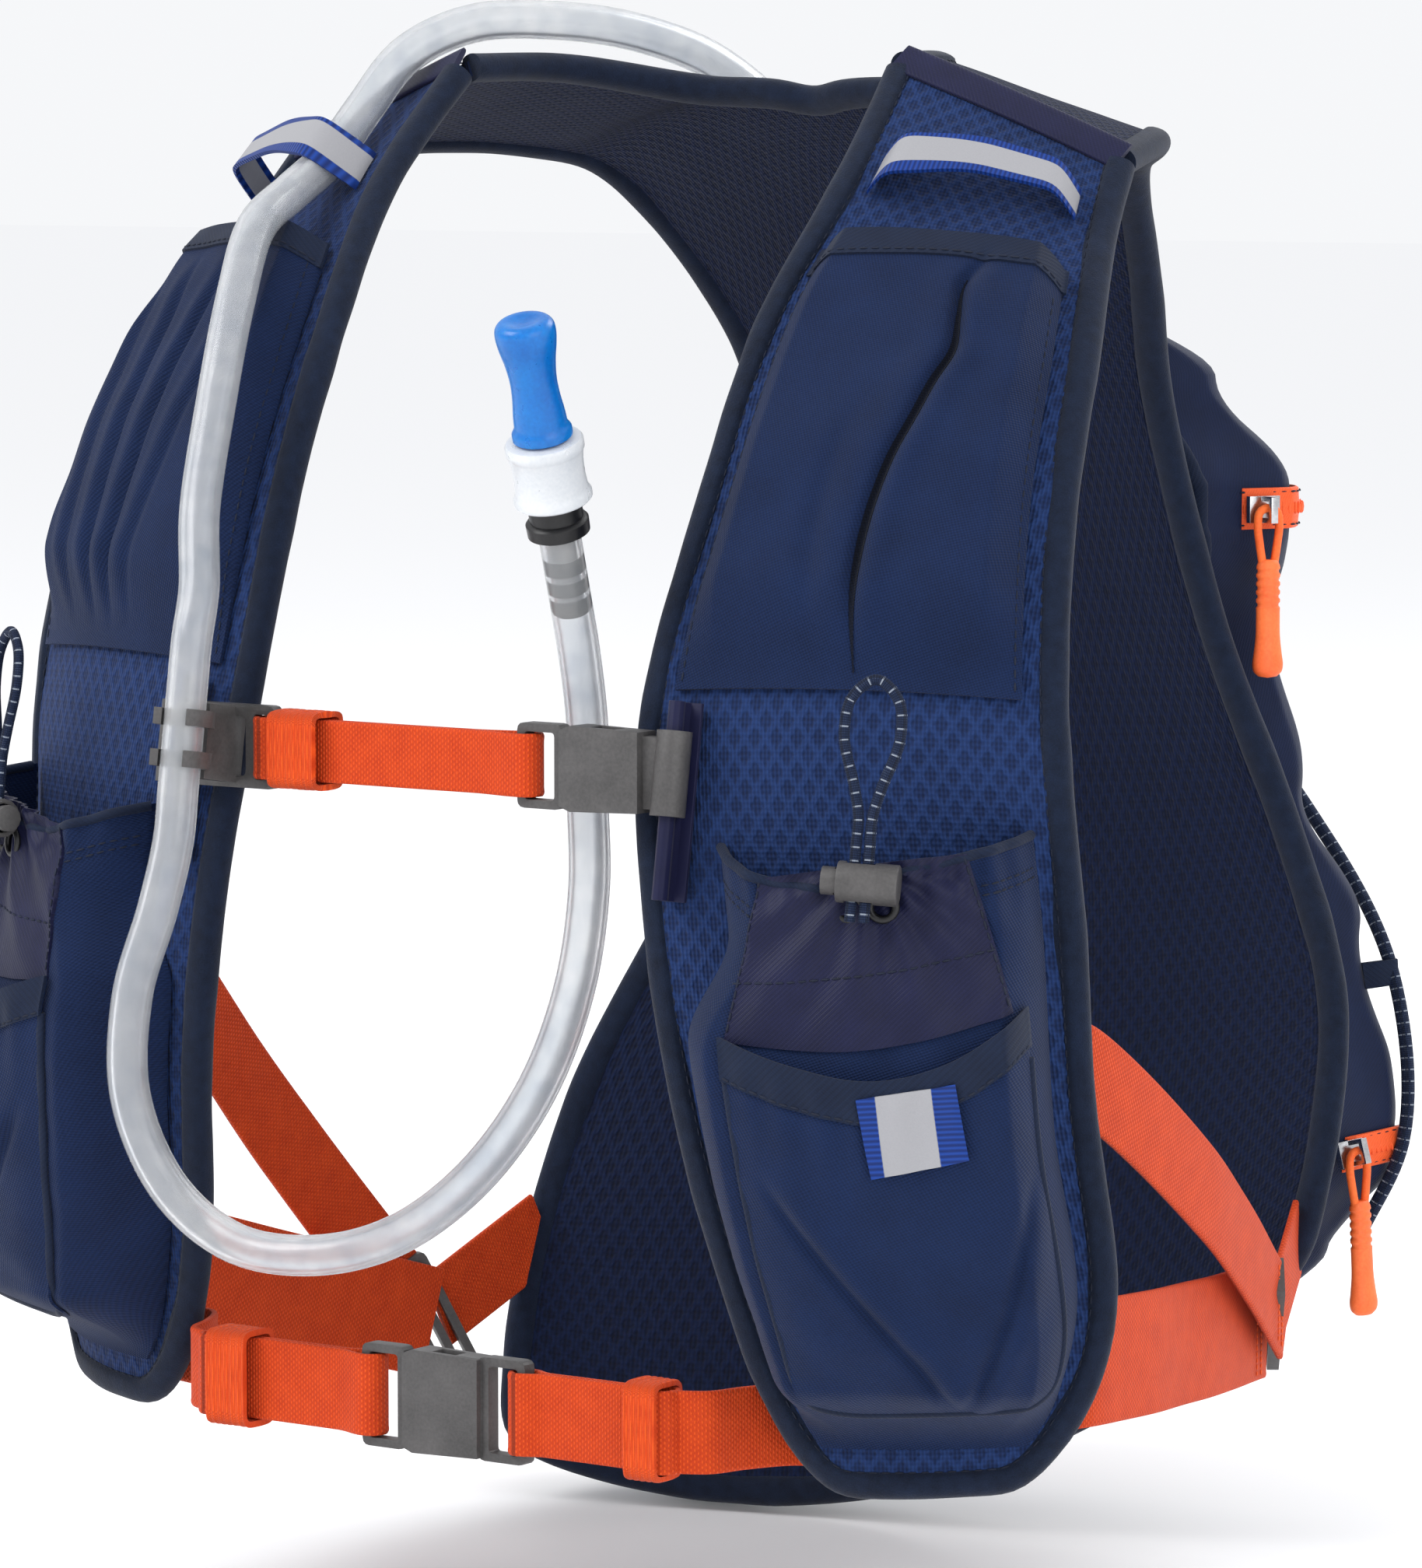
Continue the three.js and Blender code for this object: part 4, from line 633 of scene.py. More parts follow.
PAINT = {
    "stretch": knit("stretch_mesh", "06122b", "12264d"),
    # A near-black copy of the stretch mesh: painted shade for the deep fold of the pleat.
    "pleat": knit("pleat_shadow", "03060f", "070f22"),
    "mesh": diamond("diamond_mesh", "0b1836", "1f3768"),
    "lining": diamond("lining_mesh", "050b1d", "0e1d3e", 4.0, 6.0),
    "binding": suede("padded_binding", "09101e", "18243b"),
    "tape": woven("seam_tape", "0d0f27", "1b1d40"),
    "pocket_tape": woven("pocket_tape", "0c1426", "16223a", 0.7, 0.25, 0.7),
    "panel": woven("woven_panel", "0c0e24", "1a1d3e", 0.5, 0.25, 0.45),
    "pack": woven("pack_cloth", "081128", "111f40", 0.7, 0.3, 0.6),
    "webbing": ribbed("orange_webbing", "a92c08", "e4531a"),
    "keeper": ribbed("elastic_keeper", "b8340a", "ee5c1e", 1.0, 0.25, 0.7),
    "zip": woven("coated_zip_tape", "d84a20", "f86a38", 0.6, 0.1, 0.45),
    "grip": moulded("rubber_grip", "f0602a", "ff7b3c", 0.5),
    "pull_cord": moulded("pull_cord", "ee5a20", "ff7a30", 0.6, 0.25, 0.12),
    "plastic": moulded("grey_nylon", "3b3a3a", "535151", 0.45),
    "dark_plastic": moulded("black_nylon", "08080a", "19191b", 0.36),
    "steel": moulded("nickel", "a9a9ab", "d0d0d2", 0.24, 0.6, 0.02, Metallic=1.0),
    "bungee": flecked("flecked_bungee", "0c1428", "1d2b47", "858d9a", 3.1),
    "reflective": banded("reflective_tape", "1b4092", "98989c", 14.5, 2.6),
    "tab": banded("reflective_tab", "1b4092", "98989c", 17, 3.4),
    "thread": moulded("sewing_thread", "080f1f", "121c32", 0.8, 0.3, 0.05),
    "orange_thread": moulded("orange_thread", "c84a1c", "ee6a34", 0.8, 0.3, 0.05),
    "reservoir": clear("reservoir_film", "b7cbe2", 0.25, 0.6),
    "hose": clear("clear_hose", "dde2e8", 0.2, 0.82),
    "collar": moulded("milky_collar", "dfe4ea", "f6f8fa", 0.3, 0.8, 0.03, Transmission_Weight=0.35),
    "silicone": moulded("blue_silicone", "0062b8", "0482d8", 0.3, 1.2, 0.03, Transmission_Weight=0.25,
                        Subsurface_Weight=0.2),
}


def moulding(node, name, body, bevel):
    """A refined CAD piece in grey nylon."""
    refined(node, name, PAINT["plastic"], body, bevel)


# ------------------------------------------------------------------ helpers for sewn pieces
def patch(name, side, place, high, low, size, step):
    """A closed piece of cloth over a front panel: place gives u and v, high and low the heights."""
    rows, columns = max(int(size[1] / step), 4), max(int(size[0] / step), 4)
    t, s = np.meshgrid(np.linspace(0, 1, rows), np.linspace(0, 1, columns), indexing="ij")
    u, v = place(s, t)
    top, bottom = sided(front(u, v, high(u, v)), side), sided(front(u, v, low(u, v)), side)
    uv = np.stack([u * front_width(v) / 2, v * FRONT_LENGTH], -1)
    return cloth(name, top, bottom, uv)


def on_front(path, height, side):
    """Points and outward directions over a front panel for a path of (u, v)."""
    u, v = np.asarray(path, float).T
    h = height(u, v) if callable(height) else np.full_like(u, height)
    a, b = front(u, v, h), front(u, v, h + 1)
    return sided(a, side), sided(b - a, side)


def fine(path, count=60):
    """A path of (u, v) with smooth points between its given ones."""
    return through(path, np.linspace(0, 1, count))


def sew_front(u, v, height, side, pitch):
    """Stitches over a front panel along a path given as its u and v."""
    thread.sew(*on_front(np.stack(np.broadcast_arrays(u, v), -1), height, side), pitch)


def remapped(piece, change):
    """Rewrites a cloth piece's own map by a rule on its (across, along) pairs."""
    layer = piece.data.uv_layers["cloth"].data
    uv = np.empty(len(layer) * 2)
    layer.foreach_get("uv", uv)
    layer.foreach_set("uv", change(uv.reshape(-1, 2)).ravel())


def padded_section(seam_turn, rows, shift, width=8.6, thickness=7.2):
    """A padded band's section for each row: an oval with a sewn groove at an angle."""
    a = np.arange(28) * 2 * np.pi / 28
    lump = 1 + 0.045 * hills(np.arange(rows) * 0.21 + shift, 0, 0, 1.0)
    dip = 1 - 0.17 * np.exp(-((np.angle(np.exp(1j * (a - seam_turn)))) / 0.2) ** 2)
    base = np.stack([np.sign(np.cos(a)) * np.abs(np.cos(a)) ** 0.85 * width / 2, np.sin(a) * thickness / 2], -1)
    return base[None] * dip[None, :, None] * lump[:, None, None]


def level_ups(path):
    """The level direction square to a path at each point, for a strap that stands upright."""
    return np.cross(unit(np.gradient(path, axis=0)), [0, 0, 1.0])


class Thread:
    """Stitches collected along paths, made as one piece."""

    def __init__(self):
        self.points, self.turns = [], []

    def sew(self, path, ups, pitch=3.0, across=False):
        """A stitch every pitch mm along a path, or lying across it."""
        path = np.asarray(path, float)
        both = evenly(np.hstack([path, np.broadcast_to(unit(np.asarray(ups, float)), path.shape)]), count=max(
            int(run_of(path)[-1] / pitch), 2))
        p, up = both[:, :3], unit(both[:, 3:])
        along = unit(np.gradient(p, axis=0))
        if across:
            along = np.cross(along, up)
        for q, d, n in zip(p, along, up):
            x = unit(np.cross(n, d))
            self.points.append(q)
            self.turns.append(Matrix((x, np.cross(d, x), d)).transposed().to_euler())

    def piece(self, name, material, slot, length=2.2, width=0.55, height=0.4):
        mesh = bpy.data.meshes.new(name)
        mesh.from_pydata([tuple(p * MM) for p in self.points], [], [])
        turn = mesh.attributes.new("turn", "FLOAT_VECTOR", "POINT")
        turn.data.foreach_set("vector", np.array([tuple(e) for e in self.turns]).ravel())
        piece = placed(name, mesh)
        maker = piece.modifiers.new("stitches", "NODES")
        maker.node_group = REPEAT
        sizes = {"Length": length * MM, "Width": width * MM, "Height": height * MM, "Material": material}
        for item in REPEAT.interface.items_tree:
            if item.in_out == "INPUT" and item.name in sizes:
                maker[item.identifier] = sizes[item.name]
        plain_copy(piece)
        piece.data.shade_smooth()
        finished(piece, material)


def repeat_tree():
    """Geometry Nodes: a small rounded bead on each point, turned by the point's turn attribute."""
    tree = bpy.data.node_groups.new("repeat_beads", "GeometryNodeTree")
    face = tree.interface
    face.new_socket("Geometry", in_out="INPUT", socket_type="NodeSocketGeometry")
    for label in ("Length", "Width", "Height"):
        face.new_socket(label, in_out="INPUT", socket_type="NodeSocketFloat").default_value = 0.001
    face.new_socket("Material", in_out="INPUT", socket_type="NodeSocketMaterial")
    face.new_socket("Geometry", in_out="OUTPUT", socket_type="NodeSocketGeometry")
    add, join = tree.nodes.new, tree.links.new
    start, end = add("NodeGroupInput"), add("NodeGroupOutput")
    bead = add("GeometryNodeMeshUVSphere")
    bead.inputs["Segments"].default_value = 6
    bead.inputs["Rings"].default_value = 4
    bead.inputs["Radius"].default_value = 0.5
    size = add("ShaderNodeCombineXYZ")
    join(start.outputs["Width"], size.inputs[0])
    join(start.outputs["Height"], size.inputs[1])
    join(start.outputs["Length"], size.inputs[2])
    vary = add("FunctionNodeRandomValue")
    vary.data_type = "FLOAT"
    floats = [s for s in vary.inputs if s.type == "VALUE" and s.enabled]
    floats[0].default_value, floats[1].default_value = 0.88, 1.08
    next(s for s in vary.inputs if s.name == "Seed").default_value = 5
    scaled = add("ShaderNodeVectorMath")
    scaled.operation = "SCALE"
    join(size.outputs[0], scaled.inputs[0])
    join(next(s for s in vary.outputs if s.enabled), scaled.inputs["Scale"])
    turn = add("GeometryNodeInputNamedAttribute")
    turn.data_type = "FLOAT_VECTOR"
    turn.inputs["Name"].default_value = "turn"
    dots = add("GeometryNodeMeshToPoints")
    join(start.outputs["Geometry"], dots.inputs[0])
    spread = add("GeometryNodeInstanceOnPoints")
    join(dots.outputs[0], spread.inputs["Points"])
    join(bead.outputs["Mesh"], spread.inputs["Instance"])
    join(next(s for s in turn.outputs if s.enabled), spread.inputs["Rotation"])
    join(scaled.outputs[0], spread.inputs["Scale"])
    whole = add("GeometryNodeRealizeInstances")
    join(spread.outputs[0], whole.inputs[0])
    paint = add("GeometryNodeSetMaterial")
    join(whole.outputs[0], paint.inputs[0])
    join(start.outputs["Material"], paint.inputs["Material"])
    join(paint.outputs[0], end.inputs[0])
    return tree


REPEAT = repeat_tree()


def line_through(points, each=10):
    """A smooth line whose bends depend on the distance between points, as a hose lies."""
    p = np.asarray(points, float)
    p = np.concatenate([[2 * p[0] - p[1]], p, [2 * p[-1] - p[-2]]])
    out = []
    for i in range(1, len(p) - 2):
        a, b, c, d = p[i - 1:i + 3]
        k0, k1, k2 = (max(np.linalg.norm(y - x), 1e-6) ** 0.5 for x, y in ((a, b), (b, c), (c, d)))
        m = ((b - a) / k0 - (c - a) / (k0 + k1) + (c - b) / k1) * k1
        n = ((c - b) / k1 - (d - b) / (k1 + k2) + (d - c) / k2) * k1
        w = np.linspace(0, 1, each, endpoint=False)[:, None]
        out.append(b + m * w + (3 * (c - b) - 2 * m - n) * w ** 2 + (2 * (b - c) + m + n) * w ** 3)
    return np.concatenate([*out, p[-2][None]])


# ------------------------------------------------------------------ drink hose first
EXIT = np.array([-34, 133, -70.5])
EXIT_ALONG = np.array([0, -0.64, 0.77])
HOSE_RADIUS = 5.0
HOSE_ROUTE = [EXIT + 0.5 * EXIT_ALONG, EXIT + 11 * EXIT_ALONG, (-33, 112, -42), (-34, 98, -20), (-41, 76, -3),
              (-52, 56, 5), (-63, 34, 8), (-74, 14, 7), (-82, -3, -1), (-86, -15.4, -14.6), (-88, -27.5, -27),
              (-88, -42, -35), (-86, -59, -43.5), (-80, -75, -61), (-73, -92, -87), (-66, -107, -112),
              (-59, -116, -130), (-57, -121.3, -141.6), (-57, -123.2, -153.5), (-57, -125, -165.3),
              (-57, -126.9, -177.2), (-57, -128.7, -189), (-61, -130, -206), (-70, -129, -228), (-74, -125, -254),
              (-66, -120, -276), (-50, -116, -288), (-30, -112, -290), (-7, -109, -284), (16, -107, -268),
              (32, -103, -246), (39.5, -98, -222), (40, -92.5, -198), (38.5, -91, -176), (38.5, -91, -160),
              (40, -96, -143), (42, -103, -127), (43.3, -108.5, -113.5)]
hose_path = evenly(line_through(HOSE_ROUTE, 12), step=3)
hose = finished(tube("drink_hose_tube", hose_path, HOSE_RADIUS, 28, 1.5), PAINT["hose"], "vest",
                ["drink_hose"])
hose_end = line_through(HOSE_ROUTE, 40)[-2:]
VALVE, VALVE_ALONG = hose_end[1], unit(hose_end[1] - hose_end[0])


def on_valve(name, profile, material, body, node):
    piece = turned(name, profile, VALVE, VALVE_ALONG, 44)
    return finished(piece, material, body, [node])


def arc(points, each=6):
    """A profile with its points joined by a smooth line."""
    return [tuple(p) for p in line_through(points, each)]


connector = on_valve("hose_barb_connector", [(3.3, -20), (4.0, -18.5), (3.3, -15), (4.0, -13.5), (3.3, -10),
                     (4.0, -8.5), (3.4, -5), (3.4, 0.3), (6.3, 0.3), (7.4, 0.9), (7.5, 3.8), (7.0, 4.4),
                     (6.4, 4.6), (6.4, 8.3), (6.1, 8.6), (4.0, 8.6), (4.0, 19.3), (3.0, 19.5), (2.4, 19.5),
                     (2.4, -20), (3.3, -20)], PAINT["dark_plastic"], "vest", "hose_connector")
collar = on_valve("valve_collar_shell", [(4.6, 9.1), (8.9, 9.1), (9.3, 9.5), (9.3, 10.6), (8.9, 11.4)]
                  + arc([(8.6, 12), (8.4, 15.5), (8.6, 19.5), (9.0, 21.6)])
                  + [(9.3, 22), (9.3, 24), (8.9, 24.6), (6.5, 24.9), (4.6, 24.4), (4.6, 9.1)],
                  PAINT["collar"], "bite_valve", "valve_collar")
mouth = on_valve("bite_valve_mouthpiece", [(0.2, 25.2), (6.6, 25.2), (7.1, 25.6), (7.1, 27.2), (6.7, 27.9)]
                 + arc([(6.3, 28.6), (6.1, 31.5), (5.6, 36), (5.5, 40), (6.0, 44.5), (6.8, 48.5), (7.15, 51.5),
                        (6.9, 53.6), (5.8, 54.8), (4.2, 55), (2.2, 54.5), (0.2, 54.2)]),
                 PAINT["silicone"], "bite_valve", "mouthpiece")

# ------------------------------------------------------------------ front panels and their edges
POCKET = 10.5                   # from a panel's edge to its pockets' edges
L = FRONT_LENGTH


def binding_path():
    """The middle line of the front panel's edge band as (u, v): down, across and up."""
    v0, v1 = SEAM_GAP / L, 1 - 4.2 / L
    v = np.linspace(v0, v1, 70)
    down = np.stack([-edge_u(v, BAND_IN), v], -1)
    corner = float(edge_u(v1, BAND_IN))
    across = np.stack([np.linspace(-corner, corner, 26)[1:-1], np.full(24, v1)], -1)
    return np.concatenate([down, across, (down * [-1, 1])[::-1]])


def front_panel(side, word):
    def place(s, t):
        v = mix(SEAM_GAP / L, 1 - PANEL_IN / L, t)
        return mix(-edge_u(v, PANEL_IN), edge_u(v, PANEL_IN), s), v
    soft = lambda u, v: 0.35 * hills(u * 40, v * L, 0, 17)
    piece = patch("front_mesh_panel_" + word, side, place, soft, lambda u, v: soft(u, v) - PANEL_THICK, (90, L), 1.6)
    finished(piece, PAINT["mesh"], nodes=["front_panel_" + word])
    points, ups = on_front(binding_path(), -PANEL_THICK / 2, side)
    points = softened(points, 6)
    if side < 0:
        points, ups = points[::-1], ups[::-1]
    full = evenly(np.hstack([points, unit(ups)]), step=2.2)
    points, ups = full[:, :3], unit(full[:, 3:])
    band = swept("front_padded_binding_" + word, points, ups,
                 padded_section(2.35, len(points), 3.0 * side), smooth=70)
    finished(band, PAINT["binding"], nodes=["front_binding_" + word])
    along = unit(np.gradient(points, axis=0))
    across = unit(np.cross(along, ups))
    thread.sew(points - across * 2.7 + ups * 2.35, ups, 3.1)


def loop_height(rise):
    def height(u, v):
        k = u / (edge_u(v, POCKET) + 1e-9)
        m = np.maximum(1 - k * k, 0) * 2.4
        wave = 0.5 * hills(u * 35, v * L, rise, 11)
        return 0.5 + rise * m / (1 + m ** 6) ** (1 / 6) + wave * (1 - k ** 8)
    return height


def reflective_loop(side, word, rise):
    half = 7.25
    middle = lambda k: 0.1 + 0.013 * ease(0.1, -0.9, k) - 0.004 * k
    def place(s, t):
        k = 2 * s - 1
        v = middle(k) + (2 * t - 1) * (half / L)
        return k * edge_u(v, POCKET), v
    h = loop_height(rise)
    piece = patch("reflective_strap_loop_" + word, side, place, lambda u, v: h(u, v) + 1.1, h, (62, 15), 0.7)
    remapped(piece, lambda uv: np.stack([uv[:, 1] - middle(uv[:, 0] / 32) * L + half, uv[:, 0]], -1))
    finished(piece, PAINT["reflective"], nodes=["reflective_loop_" + word])


# ------------------------------------------------------------------ upper pocket
POCKET_TOP, POCKET_FOOT = 0.19, 0.487


def pleat_u(v):
    """Where the left pocket's long pleat runs."""
    knots = [0.30, 0.22, 0.24, 0.26, 0.20, 0.15, 0.09, 0.05, 0.03, 0.03, 0.04, 0.06]
    return through(knots, np.clip((v - 0.2) / 0.287, 0, 1))


def groove(d, depth, half):
    """A groove or, with a negative depth, a ridge at distance d from its middle."""
    return -depth * np.exp(-(d / half) ** 2)


def folds(side, u, v):
    """Height of the upper pocket's pleats: one long pleat on the left, a fan of folds on the right."""
    w = front_width(v) / 2
    out = 0.5 * hills(u * 40, v * L, side, 13)
    if side > 0:
        d = (u - pleat_u(v)) * w
        deep = ease(0.5, 0.42, v) * ease(POCKET_TOP, 0.24, v)
        out = out + (groove(d, 3.0, 1.5) + groove(d - 4.2, -1.5, 3.0) + groove(d + 5, -0.8, 4.0)) * deep
        out = out + groove(d + 13 - 30 * (v - 0.35), 1.0, 2.6) * bump(v, 0.4, 0.1)
    else:
        for a, b, depth in ((-0.5, -0.12, 0.9), (-0.08, 0.02, 1.9), (0.3, 0.16, 1.6), (0.62, 0.36, 0.9)):
            t = np.clip((v - 0.2) / 0.285, 0, 1)
            d = (u - mix(a, b, t ** 0.8)) * w
            deep = ease(0.0, 0.25, t) * ease(1.02, 0.9, t)
            out = out + (groove(d, depth, 1.4) + groove(d - 3.5, -0.8, 2.4)) * deep
    return out


def upper_height(side):
    def height(u, v):
        k = np.clip(u / edge_u(v, POCKET), -1, 1)
        t = np.clip((v - POCKET_TOP) / 0.295, 0, 1)
        rim = np.minimum(1, (1 - k ** 4) * 1.6)
        return 0.9 + (8.4 + folds(side, u, v)) * rim * ease(0, 0.2, 1 - t)
    return height


def upper_pocket(side, word):
    h = upper_height(side)
    def place(s, t):
        k = 2 * s - 1
        v = mix(POCKET_TOP - 0.008 * k, POCKET_FOOT, t)
        return k * edge_u(v, POCKET), v
    piece = patch("upper_stretch_pocket_" + word, side, place, lambda u, v: h(u, v) + 1.0, h, (75, 116), 0.75)
    finished(piece, PAINT["stretch"], nodes=["upper_pocket_" + word])
    mouth = lambda k: 0.188 - 0.007 * k - 0.003 * (1 - k * k)
    def tape_place(s, t):
        k = 2 * s - 1
        v = mouth(k) + t * 8.6 / L
        return k * edge_u(v, POCKET - 1), v
    tape = patch("upper_pocket_tape_" + word, side, tape_place, lambda u, v: h(u, v) + 1.75,
                 lambda u, v: h(u, v) + 0.9, (75, 9), 0.75)
    finished(tape, PAINT["pocket_tape"])
    if side > 0:
        # A near-black strip of mesh along the long pleat, over the shaped groove: painted shade in the fold.
        def pleat_shade_place(s, t):
            v = mix(0.222, 0.478, t)
            wide = 1.9 * np.minimum(1, 1.25 * np.sin(np.pi * np.clip(t, 0.02, 0.98)) ** 0.8)
            return pleat_u(v) + (2 * s - 1) * wide / front_width(v), v
        pleat_shade_sheet = patch("upper_pocket_pleat_shade", side, pleat_shade_place, lambda u, v: h(u, v) + 1.35,
                     lambda u, v: h(u, v) + 0.8, (4, 105), 0.5)
        finished(pleat_shade_sheet, PAINT["pleat"])
    k = np.linspace(-0.97, 0.97, 60)
    v = mouth(k) + 7.3 / L
    sew_front(k * edge_u(v, POCKET), v, lambda u, v: h(u, v) + 1.9, side, 2.7)
    v = np.linspace(0.22, 0.48, 50)
    for end in (-1, 1):
        sew_front(end * edge_u(v, POCKET + 1.6), v, lambda u, v: h(u, v) + 1.1, side, 3.0)


# ------------------------------------------------------------------ bottle pocket
TOP_V = [0.578, 0.597, 0.6, 0.59, 0.578, 0.566]
BOTTOM_V = 0.965
MOUTH_V, POCKET_RUN = 0.585, 0.38


def bottle_sides(v):
    inner = mix(POCKET + 12.5, POCKET, ease(0.12, 0.3, (v - MOUTH_V) / POCKET_RUN))
    return -edge_u(v, inner), edge_u(v, POCKET)


def bottle_swell(k, t):
    return 24 * np.minimum(1, (1 - k ** 4) * 1.3) * ease(0, 0.16, 1 - t) * mix(0.62, 1, ease(0, 0.35, t))


def bottle_height(side):
    def height(u, v):
        a, b = bottle_sides(v)
        k = np.clip(2 * (u - a) / (b - a) - 1, -1, 1)
        t = np.clip((v - MOUTH_V) / POCKET_RUN, -0.05, 1)
        x, y = (u - 0.1) * front_width(v) / 2, (v - 0.592) * L
        far = np.hypot(x, y * 0.8)
        angle = np.arctan2(x, np.abs(y) + 4)
        rays = np.cos(angle * 15 + 0.9 * side + 0.05 * far) * np.exp(-(far / 30) ** 1.5) * (1 - np.exp(-far / 5))
        gathers = np.sin(x * 2 * np.pi / 6.3 + 1.6 * hills(x, y, 0, 15)) * ease(0.14, 0.0, t)
        slack = hills(x * 0.8, y, 9 * side, 16) + 0.5 * hills(x + y, y - x, side, 11)
        rim = 1 - k ** 10
        return 0.9 + bottle_swell(k, np.maximum(t, 0)) + (1.15 * rays + 0.55 * gathers + 0.75 * slack
                                                         * ease(0.0, 0.2, 1 - t)) * rim
    return height


def bottle_top(k):
    return through(TOP_V, (k + 1) / 2)


def bottle_pocket(side, word):
    h = bottle_height(side)
    def place(s, t):
        v = mix(bottle_top(2 * s - 1), BOTTOM_V, t)
        a, b = bottle_sides(v)
        return mix(a, b, s), v
    piece = patch("bottle_pocket_cloth_" + word, side, place, lambda u, v: h(u, v) + 0.95, h, (115, 160), 0.85)
    finished(piece, PAINT["stretch"], nodes=["bottle_pocket_" + word])
    # The smooth centre cloth below the gathered mouth.
    def panel_place(s, t):
        u = mix(mix(-0.31, 0.51, s), mix(-0.47, 0.61, s), t)
        return u, mix(mix(0.597, 0.578, s), mix(0.69, 0.672, s) + 0.012 * np.sin(np.pi * s), t)
    crease = lambda u, v: 0.35 * hills(u * 60 + v * 200, v * L * 0.4, side, 5)
    panel = patch("bottle_pocket_centre_" + word, side, panel_place, lambda u, v: h(u, v) + 1.75 + crease(u, v),
                  lambda u, v: h(u, v) + 0.8, (80, 40), 0.65)
    finished(panel, PAINT["panel"])
    lift = lambda u, v: h(u, v) + 1.9 + crease(u, v)
    thread.sew(*on_front(fine([(-0.41, 0.657), (-0.15, 0.655), (0.2, 0.648), (0.55, 0.635)]), lift, side), 2.6)
    for end, top, foot in ((-1, (-0.31, 0.60), (-0.45, 0.682)), (1, (0.5, 0.582), (0.59, 0.665))):
        thread.sew(*on_front(fine([top, foot], 24), lift, side), 2.6)
    # The rolled hem along the mouth.
    k = np.linspace(-0.985, 0.985, 110)
    v = bottle_top(k) + 0.4 / L
    a, b = bottle_sides(v)
    rim, ups = on_front(np.stack([mix(a, b, (k + 1) / 2), v], -1), lambda u, v: h(u, v) + 0.5, side)
    hem = swept("bottle_pocket_hem_" + word, rim, ups, oval(2.4, 2.6, 12), smooth=70)
    finished(hem, PAINT["pocket_tape"])
    k = np.linspace(-0.96, 0.96, 100)
    for drop in (7.5, 9.6):
        v = bottle_top(k) + drop / L
        a, b = bottle_sides(v)
        u = mix(a, b, (k + 1) / 2)
        for part in (u < -0.36, u > 0.55):
            if part.sum() > 3:
                sew_front(u[part], v[part], lambda u, v: h(u, v) + 1.05, side, 2.6)
    # Two ring eyelets that the elastic cord passes through.
    for u, v in ((0.035, 0.612), (0.165, 0.611)):
        at, out = on_front([(u, v)], lambda u, v: h(u, v) + 2.0, side)
        ring = [(3.0 + 0.95 * math.cos(q), 0.75 * math.sin(q)) for q in np.linspace(0, 2 * math.pi, 13)]
        ring[-1] = ring[0]
        eyelet = turned("cord_eyelet_%s_%d" % (word, round(u * 100)), ring, at[0], out[0], 26)
        finished(eyelet, PAINT["dark_plastic"])


def small_mouth(k):
    return through([0.69, 0.705, 0.712, 0.7, 0.672], (k + 1) / 2)


SMALL_MIDDLE, SMALL_HALF = 0.095, 0.57
CREASE_SCALE = 48               # from u to mm across the small pocket


